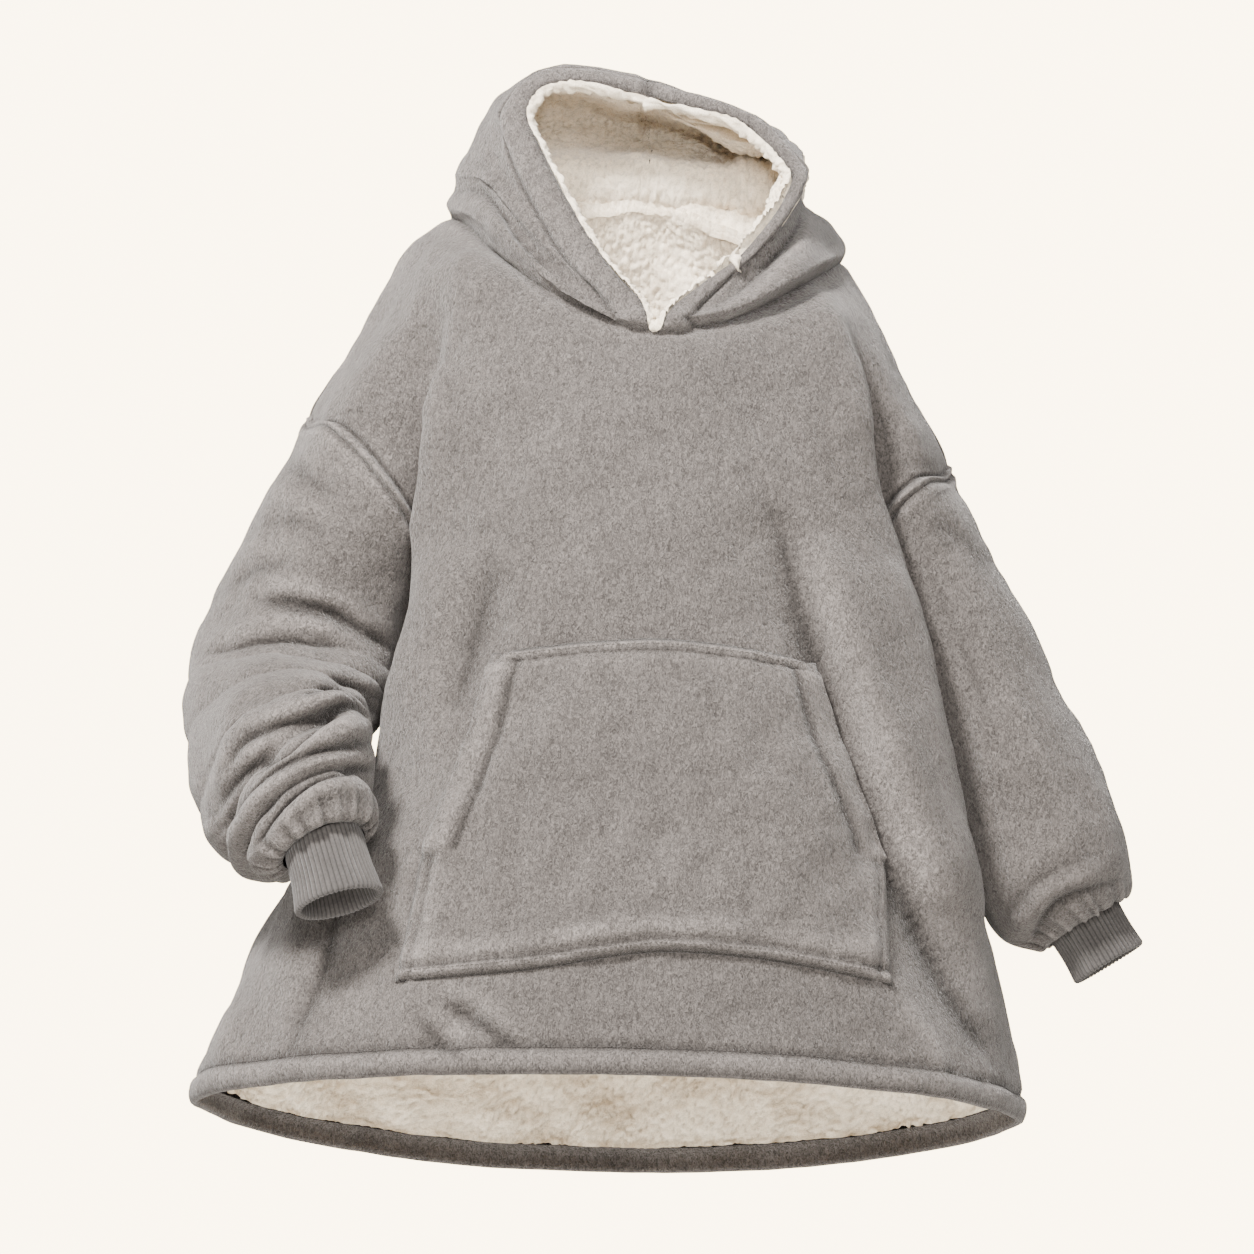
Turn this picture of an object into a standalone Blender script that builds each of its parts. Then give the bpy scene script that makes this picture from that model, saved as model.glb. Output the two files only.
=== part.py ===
"""Wearable blanket hoodie, filled out as if worn.

Frame: metres, +Z up, +X to the viewer's right, the front faces -Y.
The origin is the middle of the neck opening, where the wearer's shoulders hold
the garment.  "Left" and "right" are the viewer's, looking at the front.

Every piece of cloth is a wall between an outer grid of points and an inner one.
A panel's grid runs through the sections of the tables below, and pieces that
are sewn together share the points of their seam, less a small gap.
"""
import math

import bpy
import numpy as np

# Driving dimensions, in metres
FLEECE = 0.003
HEM_FOLD = 0.008
SEAM_WALL = 0.0015
SEAM_GAP = 0.0004
SHERPA = 0.006
SHERPA_THIN = 0.0018
LINING_GAP = 0.003
LINING_SEAT = 0.0036
LINING_SEWN = 0.0008
LINING_SEAM_GAP = 0.002
HOOD_LINING_GAP = 0.0046
POCKET_GAP = 0.0037
POCKET_SEAT = 0.0012
POCKET_HEM = 0.0045
RIB_COUNT = 36
RIB_HEIGHT = 0.0011
CUFF_WALL = 0.003
CUFF_TUCK = 0.008

# The tables and the sizes from here on are in centimetres
CM = 0.01

# The hood's lining hangs in a fold behind the neck: how far forward, its place
# between neckline and crown, and how far up and down it reaches, as shares.
SHELF_PUSH = 4.6
SHELF_PLACE = 0.20
SHELF_REACH = 0.13

# Shares of one mesh step by which a lining stays back from the seams, and the
# share of its thickness that it keeps where it is sewn down
NECK_SET_BACK = 0.2
ARMHOLE_SET_BACK = 0.3
SEWN_SHARE = 0.3

# Columns of points over which a lining reaches its full thickness
HOOD_TAPER = 6.0
PANEL_TAPER = 5.0

# Every how manieth row of its shell a lining has
LINING_STEP = {"panel": 1, "hood": 2}

# Rounds in which a shell's normals are evened out
NORMAL_ROUNDS = 2
HOOD_NORMAL_ROUNDS = 5

# Columns of points between the stations of a section, side seam to centre
FRONT_SPANS = (2, 2, 2, 3, 4)
BACK_SPANS = (1, 1, 2, 2, 3)
HOOD_SPANS = (2, 2, 4, 5, 4, 5)

# Torso below the armholes, a row for each level.  z: height at the left and
# the right edge.  left, right: the widest points.  front, back: depth from the
# middle.  dent: how far the arm pushes each side in.  lift, drop: how far the
# middle of the front hangs higher, and of the back lower, than the edges.
# edge: share of the way from side seam to centre where the edge column lies.
TORSO_COLUMNS = (
    "name", "z_left", "z_right", "left", "right", "front", "back",
    "dent_left", "dent_right", "lift", "drop", "edge",
)
TORSO = (
    ("hem", -73.9, -75.4, -43.2, 35.1, 19.5, 18.8, 0.0, 0.0, 1.3, 3.8, 0.43),
    ("hem top", -71.2, -72.6, -42.8, 34.9, 19.4, 18.6, 0.0, 0.0, 1.3, 3.7, 0.43),
    ("skirt", -65.1, -66.0, -39.7, 33.7, 19.0, 18.0, 0.0, 0.0, 1.2, 3.0, 0.42),
    ("hip", -58.9, -59.9, -37.1, 32.6, 18.6, 17.3, 0.0, 0.0, 1.0, 2.2, 0.40),
    ("wrist", -52.6, -53.4, -33.4, 31.0, 18.0, 16.6, 0.4, 0.6, 0.8, 1.4, 0.38),
    ("waist", -46.2, -46.8, -27.6, 29.5, 17.3, 15.9, 1.6, 2.8, 0.5, 0.8, 0.36),
    ("belly", -39.1, -39.5, -25.9, 27.9, 16.6, 15.2, 2.2, 4.6, 0.2, 0.4, 0.34),
    ("ribs", -32.6, -33.4, -24.4, 26.5, 16.0, 14.7, 2.2, 5.8, 0.0, 0.1, 0.32),
    ("underarm", -25.3, -27.3, -23.2, 25.2, 15.5, 14.2, 2.1, 5.8, 0.0, 0.0, 0.30),
)
SIDE_DEPTH_LEFT = 1.2
SIDE_DEPTH_RIGHT = 2.8
DENT_REACH = 8.6
DENT_ROUND = 3.0
SQUARENESS = 0.9

# Front above the armholes, a row for each course from side to side.  The
# stations run from the left seam over the arm into the fold beside the chest,
# over the chest's edge and a quarter point to the centre, and out again.
FRONT_COURSES = (
    ("armhole low",
     (-22.6, -4.6, -20.3), (-21.9, -4.3, -19.8), (-21.4, -4.9, -19.5),
     (-22.4, -8.2, -21.3), (-11.2, -13.8, -20.9), (0.0, -15.0, -20.7),
     (11.2, -13.8, -21.9), (23.4, -7.6, -21.7), (21.0, -3.6, -20.9),
     (20.9, -2.0, -21.5), (21.2, -0.6, -22.3)),
    ("armhole mid",
     (-26.0, -7.4, -15.2), (-23.4, -7.0, -14.5), (-21.3, -6.3, -13.6),
     (-21.6, -9.5, -13.4), (-10.8, -13.7, -14.7), (0.0, -14.8, -15.9),
     (10.7, -13.7, -16.2), (22.1, -8.6, -17.6), (21.3, -5.2, -16.4),
     (22.3, -4.7, -17.3), (23.4, -4.8, -18.3)),
    ("armhole high",
     (-30.3, -5.2, -10.4), (-26.0, -7.4, -9.3), (-21.0, -7.1, -7.9),
     (-20.7, -10.0, -7.3), (-10.3, -13.4, -9.4), (0.1, -14.6, -11.6),
     (10.3, -13.4, -11.3), (20.9, -9.5, -12.3), (20.8, -6.0, -11.6),
     (23.5, -5.6, -14.1), (26.0, -4.8, -15.9)),
    ("armhole top",
     (-33.0, 0.5, -8.5), (-28.4, -6.2, -7.9), (-20.4, -7.2, -4.5),
     (-19.2, -10.2, -3.9), (-9.9, -13.0, -6.0), (0.2, -14.3, -8.2),
     (9.9, -13.0, -8.4), (20.0, -9.8, -7.2), (20.4, -6.2, -7.4),
     (25.6, -4.5, -11.4), (29.0, 2.5, -12.9)),
    ("shoulder low",
     (-28.5, 0.5, -1.2), (-24.9, -4.8, -0.4), (-20.1, -7.8, 0.9),
     (-18.1, -10.0, 0.9), (-9.4, -12.4, -3.0), (0.3, -13.9, -5.5),
     (9.6, -12.4, -5.4), (18.5, -9.5, -1.9), (19.7, -6.6, -1.7),
     (22.8, -3.5, -4.0), (25.1, 2.2, -5.2)),
    ("shoulder high",
     (-23.5, 0.8, 8.2), (-21.5, -3.2, 6.8), (-19.2, -6.6, 5.8),
     (-17.0, -9.0, 4.8), (-9.0, -11.8, -1.0), (0.4, -13.5, -4.0),
     (8.9, -11.7, -3.1), (16.8, -8.2, 1.3), (18.8, -5.0, 2.2),
     (20.2, -2.0, 2.2), (21.3, 2.0, 3.1)),
    ("neckline",
     (-19.5, 1.0, 11.4), (-18.5, -2.0, 10.3), (-17.1, -4.5, 8.8),
     (-15.2, -6.8, 6.5), (-8.5, -11.2, 0.7), (0.4, -13.2, -2.8),
     (8.0, -10.8, -1.2), (15.0, -6.0, 3.3), (16.8, -3.5, 4.8),
     (18.0, -1.0, 6.1), (18.6, 2.0, 7.3)),
)

# Back above the armholes: the front's stations, with these depths, and with
# the middle stations raised towards the higher neckline at the back.
BACK_COURSES = (
    ("armhole low", 6.4, 6.6, 7.0, 9.8, 13.2, 13.9, 13.2, 10.2, 7.4, 6.7, 6.2, 0.8),
    ("armhole mid", 8.9, 8.8, 8.5, 10.8, 13.2, 13.8, 13.2, 11.0, 9.4, 9.5, 9.8, 2.6),
    ("armhole high", 6.6, 8.8, 8.9, 10.9, 13.0, 13.5, 13.0, 11.2, 9.7, 10.2, 9.4, 4.6),
    ("armhole top", 0.5, 7.4, 8.6, 10.6, 12.5, 13.0, 12.5, 10.8, 9.6, 9.4, 2.5, 6.6),
    ("shoulder low", 0.5, 5.6, 8.0, 9.8, 11.8, 12.2, 11.8, 10.2, 8.8, 7.2, 2.2, 9.4),
    ("shoulder high", 0.8, 4.2, 6.6, 8.2, 10.4, 10.8, 10.4, 8.6, 7.2, 5.4, 2.0, 13.0),
    ("neckline", 1.0, 3.2, 4.8, 6.2, 8.9, 9.6, 8.9, 7.0, 5.6, 4.2, 2.0, 15.5),
)
BACK_RISE_SHARE = (0.0, 0.02, 0.08, 0.22, 0.75, 1.0, 0.75, 0.30, 0.12, 0.04, 0.0)

# Sleeves, a row for each section: the outer and the inner point of its widest
# line as seen from the front, the depth of its middle, its half depth, how far
# its front tips up, and how far the cloth swells between it and the next one.
SLEEVE_COLUMNS = (
    "name", "x_outer", "z_outer", "x_inner", "z_inner", "y", "half_depth",
    "tip", "swell",
)
SLEEVE_LEFT = (
    ("upper arm", -36.0, -14.6, -23.0, -28.6, 1.0, 7.8, 0.0, 0.0),
    ("above elbow", -39.6, -21.4, -23.5, -31.6, 1.6, 8.4, 0.4, 0.0),
    ("elbow fold", -42.3, -28.4, -24.0, -34.0, 1.6, 9.0, 1.0, 0.3),
    ("elbow", -43.7, -34.4, -24.9, -36.3, 0.0, 8.8, 2.6, 0.5),
    ("forearm", -43.3, -40.4, -26.6, -38.2, -4.5, 8.0, 4.2, 0.5),
    ("roll 1", -41.8, -46.9, -26.8, -39.4, -9.5, 7.0, 5.0, 1.1),
    ("roll 2", -38.8, -50.8, -26.4, -42.0, -13.2, 6.0, 4.8, 1.3),
    ("roll 3", -36.8, -52.4, -26.8, -47.0, -15.8, 5.0, 3.4, 1.4),
    ("gather", -33.9, -54.1, -26.2, -51.1, -17.4, 3.1, 1.2, 0.0),
)
SLEEVE_RIGHT = (
    ("upper arm", 31.0, -17.2, 22.4, -31.6, 2.9, 7.4, 0.0, 0.0),
    ("above elbow", 34.6, -24.6, 23.9, -36.4, 3.1, 7.6, 0.0, 0.0),
    ("elbow", 38.6, -33.0, 25.9, -41.6, 3.3, 7.8, 0.0, 0.0),
    ("forearm", 42.6, -41.6, 28.7, -48.4, 3.6, 7.9, 0.0, 0.0),
    ("low forearm", 45.2, -48.4, 30.8, -54.0, 3.9, 7.7, 0.0, 0.0),
    ("blouse", 45.6, -52.2, 33.2, -57.8, 3.8, 6.6, 0.0, 0.0),
    ("turn", 45.3, -53.9, 36.6, -58.9, 4.0, 4.6, 0.0, 0.0),
    ("gather", 44.64, -54.25, 37.85, -58.95, 4.0, 2.9, 0.0, 0.0),
)
CUFF_LEFT = (
    ("gather", -33.4, -53.9, -26.6, -51.2, -17.4, 2.4, 0.6, 0.0),
    ("end", -32.6, -58.4, -24.7, -56.4, -18.2, 2.5, 0.9, 0.0),
)
CUFF_RIGHT = (
    ("gather", 44.1, -53.9, 38.1, -58.2, 4.0, 2.4, 0.0, 0.0),
    ("end", 46.6, -58.2, 40.3, -62.0, 4.2, 2.5, 0.0, 0.0),
)

# Rows of points from one sleeve section to the next, more where it swells
PLAIN_ROWS = 2
ROLL_ROWS = 4

# Hood halves above the neckline, a row for each course from the face opening
# round to the middle of the back.  The stations are the rim, its stitching,
# the front of the side, the side, its widest point, the nape's corner and the
# centre seam.  share: the course's place between neckline and crown seam.
HOOD_LEFT = (
    (0.07, (-0.2, -13.8, -1.7), (-3.2, -13.7, -1.6), (-8.5, -12.8, 1.8),
     (-15.0, -9.0, 8.1), (-19.9, 0.8, 12.7), (-14.4, 8.8, 14.4), (0.1, 11.4, 14.6)),
    (0.17, (-1.0, -13.4, 0.1), (-4.2, -12.8, 0.0), (-9.9, -11.0, 4.5),
     (-15.2, -7.0, 11.8), (-19.0, 0.5, 14.4), (-14.4, 8.0, 16.2), (0.0, 10.0, 16.2)),
    (0.32, (-3.6, -12.4, 3.3), (-7.1, -12.0, 3.4), (-11.8, -9.8, 8.2),
     (-16.0, -6.2, 13.5), (-18.8, 0.0, 15.9), (-15.0, 9.8, 18.8), (0.0, 12.4, 18.4)),
    (0.50, (-6.6, -10.8, 8.0), (-10.1, -10.3, 8.1), (-13.8, -7.8, 13.1),
     (-16.4, -4.5, 16.8), (-17.4, 1.0, 18.5), (-14.6, 11.2, 21.8), (0.0, 15.0, 20.4)),
    (0.66, (-10.0, -8.6, 15.0), (-13.5, -8.0, 15.5), (-15.3, -5.5, 18.5),
     (-15.9, -2.5, 20.2), (-15.7, 2.0, 21.4), (-13.1, 11.0, 24.2), (0.0, 15.2, 22.8)),
    (0.80, (-11.8, -7.6, 20.4), (-14.5, -6.6, 20.7), (-14.3, -4.5, 22.2),
     (-13.8, -2.0, 23.5), (-13.1, 2.0, 24.7), (-10.2, 10.0, 25.8), (0.0, 14.5, 24.8)),
    (0.91, (-8.6, -6.4, 23.3), (-9.7, -5.2, 24.8), (-9.6, -3.5, 25.3),
     (-9.0, -1.0, 25.8), (-8.2, 2.5, 26.4), (-5.8, 8.0, 26.6), (0.0, 12.5, 26.0)),
    (1.00, (-0.2, -6.0, 22.1), (-0.2, -4.8, 23.6), (-0.2, -3.0, 24.3),
     (-0.2, -0.5, 24.8), (-0.2, 2.5, 25.4), (-0.1, 6.0, 25.9), (0.0, 9.5, 26.2)),
)
HOOD_RIGHT = (
    (0.07, (1.3, -13.8, -1.7), (3.5, -13.7, -1.6), (8.9, -12.6, -0.2),
     (15.6, -8.8, 4.3), (18.9, 1.5, 8.6), (14.2, 9.4, 12.6), (0.1, 11.4, 14.6)),
    (0.17, (2.4, -13.3, -0.1), (4.7, -12.9, -0.1), (9.9, -10.8, 3.4),
     (14.1, -6.0, 8.8), (15.9, 0.5, 12.6), (13.4, 8.2, 14.9), (0.0, 10.0, 16.2)),
    (0.32, (5.2, -12.0, 2.4), (7.2, -11.6, 2.5), (10.9, -9.5, 6.4),
     (13.6, -5.8, 10.4), (15.4, 0.0, 13.8), (13.7, 10.0, 17.6), (0.0, 12.4, 18.4)),
    (0.50, (9.0, -10.7, 5.6), (10.8, -10.2, 6.1), (13.3, -7.0, 10.8),
     (14.8, -3.5, 14.1), (15.2, 1.5, 16.8), (13.2, 11.2, 20.8), (0.0, 15.0, 20.4)),
    (0.66, (12.8, -8.8, 11.1), (14.5, -8.2, 11.8), (15.0, -5.5, 14.4),
     (15.0, -2.5, 16.5), (14.5, 2.0, 18.4), (11.8, 11.2, 22.8), (0.0, 15.2, 22.8)),
    (0.80, (13.1, -7.8, 14.7), (14.7, -6.8, 15.3), (14.5, -4.5, 16.8),
     (14.2, -2.0, 18.0), (13.0, 2.0, 19.6), (9.8, 10.2, 23.4), (0.0, 14.5, 24.8)),
    (0.91, (8.6, -6.8, 19.0), (9.7, -5.6, 20.1), (9.8, -3.8, 20.3),
     (9.4, -1.2, 20.8), (8.7, 2.2, 21.6), (6.4, 7.8, 24.0), (0.0, 12.5, 26.0)),
    (1.00, (-0.2, -6.0, 22.1), (-0.2, -4.8, 23.6), (-0.2, -3.0, 24.3),
     (-0.2, -0.5, 24.8), (-0.2, 2.5, 25.4), (-0.1, 6.0, 25.9), (0.0, 9.5, 26.2)),
)
HOOD_ROWS = 12

# Soft folds of the front and the back, a row for each: where it starts, bends
# and ends as seen from the front, its height (minus for a trough), and how far
# it reaches to its left and its right.
FOLD_COLUMNS = ("panel", "start", "middle", "end", "height", "reach_left", "reach_right")
FOLDS = (
    ("front", (-25.5, -34.0), (-28.0, -47.0), (-28.0, -62.0), -3.2, 6.0, 5.5),
    ("front", (11.0, -18.0), (19.8, -43.0), (31.0, -68.0), -1.9, 6.0, 2.2),
    ("front", (15.5, -20.0), (23.5, -44.0), (33.0, -66.0), 0.5, 3.4, 4.2),
    ("front", (-15.5, -24.0), (-18.0, -38.0), (-21.5, -50.0), -0.8, 3.0, 3.0),
    ("front", (-24.0, -50.0), (-31.0, -62.0), (-36.0, -71.0), 0.7, 3.4, 4.0),
    ("front", (-15.0, -66.5), (-18.5, -69.5), (-22.0, -72.5), -0.6, 1.6, 1.6),
    ("back", (-13.0, -12.0), (-19.0, -40.0), (-27.0, -70.0), -1.5, 5.0, 2.6),
    ("back", (9.0, -16.0), (14.0, -42.0), (21.0, -71.0), -1.7, 2.6, 5.0),
    ("back", (-3.0, -30.0), (-4.0, -50.0), (-6.0, -73.0), 0.9, 4.0, 4.0),
)

# Kangaroo pocket, a row for each height from its foot: how far up its side
# it lies, and its left and right edge.
POCKET_SIDES = (
    (0.00, -23.3, 22.1),
    (0.36, -21.2, 21.7),
    (0.50, -19.3, 20.4),
    (0.75, -16.4, 17.2),
    (1.00, -14.6, 15.3),
)
POCKET_FOOT = ((-23.3, -64.6), (-11.0, -63.8), (0.0, -62.2), (11.0, -62.8), (22.1, -64.6))
POCKET_TOP = ((-14.6, -33.6), (0.0, -32.7), (15.3, -34.3))
POCKET_COLUMNS = (
    0.0, 0.07, 0.14, 0.21, 0.28, 0.36, 0.44, 0.52, 0.60, 0.68, 0.75, 0.81, 0.86, 0.90, 0.94,
    0.97, 1.0,
)
POCKET_ROWS = 12

# Colours, from the photograph
FLEECE_GREY = (0.352, 0.322, 0.305)
RIB_GREY = (0.300, 0.280, 0.270)
SHERPA_CREAM = (0.807, 0.745, 0.651)


def spline(knots, values, at):
    """Smooth curve through values at knots, by cubic pieces, read at places."""
    knots = np.asarray(knots, float)
    values = np.asarray(values, float)
    at = np.clip(np.asarray(at, float), knots[0], knots[-1])
    steps = np.diff(knots)
    extra = (1,) * (values.ndim - 1)
    slopes = np.diff(values, axis=0) / steps.reshape(-1, *extra)
    tangents = np.empty_like(values)
    tangents[0] = slopes[0]
    tangents[-1] = slopes[-1]
    before = steps[:-1].reshape(-1, *extra)
    after = steps[1:].reshape(-1, *extra)
    tangents[1:-1] = (slopes[:-1] * after + slopes[1:] * before) / (before + after)
    index = np.clip(np.searchsorted(knots, at, side="right") - 1, 0, len(steps) - 1)
    span = steps[index].reshape(-1, *extra)
    t = ((at - knots[index]) / steps[index]).reshape(-1, *extra)
    return (
        values[index] * (2 * t**3 - 3 * t**2 + 1)
        + tangents[index] * span * (t**3 - 2 * t**2 + t)
        + values[index + 1] * (3 * t**2 - 2 * t**3)
        + tangents[index + 1] * span * (t**3 - t**2)
    )


def lengths(curve):
    """Distance along a curve from its first point to each point."""
    steps = np.linalg.norm(np.diff(curve, axis=0), axis=1)
    return np.concatenate(([0.0], np.cumsum(steps)))


def spread(curve, marks, spans):
    """Points along a dense curve, evenly parted between its marked points."""
    along = lengths(curve)
    places = [0.0]
    for first, last, count in zip(marks[:-1], marks[1:], spans):
        places.extend(np.linspace(first, last, count + 1)[1:])
    return np.stack([np.interp(places, along, curve[:, axis]) for axis in range(3)], axis=1)


def course(stations, spans):
    """A course through hand-placed stations, as evenly parted points."""
    stations = np.asarray(stations, float)
    chords = np.linalg.norm(np.diff(stations, axis=0), axis=1)
    knots = np.concatenate(([0.0], np.cumsum(np.sqrt(chords))))
    fine = np.linspace(0.0, knots[-1], 400)
    curve = spline(knots, stations, fine)
    along = lengths(curve)
    marks = np.interp(knots, fine, along)
    return spread(curve, marks, spans)


def dented_width(unit, reach, dent):
    """Half section widths of 1 at most, pushed in by dent where reach is 1."""
    push = dent
    for _ in range(12):
        widest = np.max(unit * (1.0 - push * reach))
        push = 1.0 - (1.0 - dent) * widest
    return unit * (1.0 - push * reach) / widest


def torso_half(row, front, spans):
    """Half a torso section, from the left side seam over the middle."""
    part = dict(zip(TORSO_COLUMNS, row))
    turn = np.linspace(0.0, math.pi, 401)
    across = -np.cos(turn)
    unit = np.abs(across) ** SQUARENESS
    outward = np.sin(turn) ** SQUARENESS
    side = (SIDE_DEPTH_LEFT + SIDE_DEPTH_RIGHT) / 2
    side = side + across * (SIDE_DEPTH_RIGHT - SIDE_DEPTH_LEFT) / 2
    depth = -part["front"] if front else part["back"]
    y = side + (depth - side) * outward
    reach = np.exp(-((np.abs(y - side) / DENT_REACH) ** DENT_ROUND))
    centre = (part["left"] + part["right"]) / 2
    half = (part["right"] - part["left"]) / 2
    left = dented_width(unit, reach, part["dent_left"] / half)
    right = dented_width(unit, reach, part["dent_right"] / half)
    x = centre + half * np.where(across < 0, -left, right)
    share = (x - part["left"]) / (2 * half)
    z = part["z_left"] + (part["z_right"] - part["z_left"]) * share
    z = z + (part["lift"] if front else -part["drop"]) * outward**2
    curve = np.stack([x, y, z], axis=1)
    along = lengths(curve)
    middle = along[200]
    whole = along[-1]
    marks = [0.0]
    shares = (part["edge"] / 3, part["edge"] * 2 / 3, part["edge"])
    marks += [middle * s for s in shares]
    marks += [middle * (1 + part["edge"]) / 2, middle]
    rest = whole - middle
    marks += [whole - rest * (1 + part["edge"]) / 2]
    marks += [whole - rest * s for s in reversed(shares)]
    marks += [whole]
    return spread(curve, marks, spans + spans[::-1])


def panel_courses(front):
    """All courses of the front or the back, hem to neckline, in metres."""
    spans = FRONT_SPANS if front else BACK_SPANS
    courses = [torso_half(row, front, spans) for row in TORSO]
    for (_, *stations), (_, *depths, rise) in zip(FRONT_COURSES, BACK_COURSES):
        stations = np.array(stations, float)
        if not front:
            stations[:, 1] = depths
            stations[:, 2] += rise * np.array(BACK_RISE_SHARE)
        courses.append(course(stations, spans + spans[::-1]))
    return np.array(courses) * CM


UNDERARM = len(TORSO) - 1
ARMHOLE_TOP = UNDERARM + 4
NECKLINE = len(TORSO) + len(FRONT_COURSES) - 1
ROWS_BETWEEN = ((0, 1, 1), (1, UNDERARM, 9), (UNDERARM, ARMHOLE_TOP, 8), (ARMHOLE_TOP, NECKLINE, 4))


def panel_places():
    """Places of the mesh rows among the courses."""
    places = [0.0]
    for first, last, count in ROWS_BETWEEN:
        places.extend(np.linspace(first, last, count + 1)[1:])
    return np.array(places)


def make_panel(front):
    """Outer points of the front or the back, rows by columns."""
    courses = panel_courses(front)
    points = spline(np.arange(len(courses)), courses, panel_places())
    press_folds(points, "front" if front else "back")
    return points


def press_folds(points, panel):
    """Move a panel's points in and out along its soft folds."""
    outward = -1.0 if panel == "front" else 1.0
    columns = np.linspace(0.0, 1.0, points.shape[1])
    free = np.clip(np.minimum(columns, 1.0 - columns) / 0.12, 0.0, 1.0)
    for row in FOLDS:
        fold = dict(zip(FOLD_COLUMNS, row))
        if fold["panel"] != panel:
            continue
        bends = np.array([fold["start"], fold["middle"], fold["end"]]) * CM
        path = spline((0.0, 0.5, 1.0), bends, np.linspace(0.0, 1.0, 60))
        run = np.gradient(path, axis=0)
        flat = points[:, :, (0, 2)]
        offset = flat[:, :, None, :] - path
        nearest = np.argmin(np.sum(offset**2, axis=3), axis=2)
        gap = np.take_along_axis(offset, nearest[:, :, None, None], axis=2)[:, :, 0]
        way = run[nearest]
        side = gap[..., 0] * -way[..., 1] + gap[..., 1] * way[..., 0]
        distance = np.linalg.norm(gap, axis=2)
        reach = np.where(side < 0, fold["reach_left"], fold["reach_right"]) * CM
        ends = np.sin(math.pi * np.clip(nearest / 59.0, 0.03, 0.97)) ** 0.6
        weight = np.exp(-((distance / reach) ** 2)) * ends * free
        points[:, :, 1] += outward * fold["height"] * CM * weight


def meet_at_sides(front, back):
    """Bring the two panels' side and shoulder seams together."""
    places = panel_places()
    sewn = (places <= UNDERARM + 1e-6) | (places >= ARMHOLE_TOP - 1e-6)
    for column in (0, -1):
        middle = (front[sewn, column] + back[sewn, column]) / 2
        for panel in (front, back):
            panel[sewn, column] = middle


def grid_normals(points, wrap=False):
    """Unit normals of a grid of points, along columns cross along rows."""
    if wrap:
        along = np.roll(points, -1, axis=1) - np.roll(points, 1, axis=1)
    else:
        along = np.gradient(points, axis=1)
    up = np.gradient(points, axis=0)
    normal = np.cross(along, up)
    size = np.linalg.norm(normal, axis=2, keepdims=True)
    return normal / np.maximum(size, 1e-12)


def smoothed(normals, rounds, wrap=False):
    """Unit normals evened out with their neighbours' along rows and columns."""
    for _ in range(rounds):
        padded = np.pad(normals, ((1, 1), (0, 0), (0, 0)), mode="edge")
        normals = padded[:-2] + padded[2:] + 2 * normals
        padded = np.pad(normals, ((0, 0), (1, 1), (0, 0)), mode="wrap" if wrap else "edge")
        normals = padded[:, :-2] + padded[:, 2:] + 2 * normals
        normals = normals / np.linalg.norm(normals, axis=2, keepdims=True)
    return normals


def ring_section(row, turns):
    """Points of a sleeve section at the given turns, outer point first."""
    part = dict(zip(SLEEVE_COLUMNS, row))
    outer = np.array([part["x_outer"], part["y"], part["z_outer"]])
    inner = np.array([part["x_inner"], part["y"], part["z_inner"]])
    middle = (outer + inner) / 2
    across = (outer - inner) / 2
    depth = part["half_depth"]
    forward = np.array([0.0, -depth, part["tip"]])
    cosine = np.cos(turns)[:, None]
    sine = np.sin(turns)[:, None]
    return (middle + across * cosine + forward * sine) * CM


def armhole_loop(front, back, column):
    """Closed loop of armhole points, from its top down the front and back up."""
    places = panel_places()
    rows = np.where((places >= UNDERARM - 1e-6) & (places <= ARMHOLE_TOP + 1e-6))[0]
    down = front[rows, column][::-1]
    up = back[rows, column]
    return np.concatenate((down, up[1:-1]))


def loop_turns(loop, half):
    """Turn of each loop point, spread by length over the front and the back."""
    closed = np.vstack((loop, loop[:1]))
    along = lengths(closed)
    middle = along[half]
    turns = np.where(
        along <= middle,
        along / middle * math.pi,
        math.pi + (along - middle) / (along[-1] - middle) * math.pi,
    )
    return turns[:-1]


def make_sleeve(loop, table):
    """Outer points of a sleeve, from the armhole loop to its gathered end."""
    turns = loop_turns(loop, len(loop) // 2)
    sections = [loop] + [ring_section(row, turns) for row in table]
    sections = np.array(sections)
    swells = [0.0] + [row[-1] for row in table]
    places = []
    lift = []
    for index, swell in enumerate(swells[:-1]):
        count = ROLL_ROWS if swell > 0.2 else PLAIN_ROWS
        steps = np.arange(count) / count
        places.extend(index + steps)
        lift.extend(swell * CM * np.sin(math.pi * steps) ** 0.75)
    places.append(len(swells) - 1)
    lift.append(0.0)
    points = spline(np.arange(len(sections)), sections, places)
    middle = points.mean(axis=1, keepdims=True)
    away = points - middle
    away = away / np.linalg.norm(away, axis=2, keepdims=True)
    return points + away * np.array(lift)[:, None, None]


def make_cuff(table):
    """Outer and inner points of a ribbed cuff, its top tucked into the sleeve."""
    count = RIB_COUNT * 2
    turns = np.arange(count) * 2 * math.pi / count
    top = ring_section(table[0], turns)
    end = ring_section(table[1], turns)
    down = end.mean(axis=0) - top.mean(axis=0)
    tucked = top - down / np.linalg.norm(down) * CUFF_TUCK
    plain = np.array([tucked, top, end])
    away = plain - plain.mean(axis=1, keepdims=True)
    away = away / np.linalg.norm(away, axis=2, keepdims=True)
    rib = np.where(np.arange(count) % 2 == 0, RIB_HEIGHT, 0.0)
    ribbed = np.array([rib * 0.0, rib, rib])[:, :, None]
    return plain + away * ribbed, plain - away * CUFF_WALL


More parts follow.
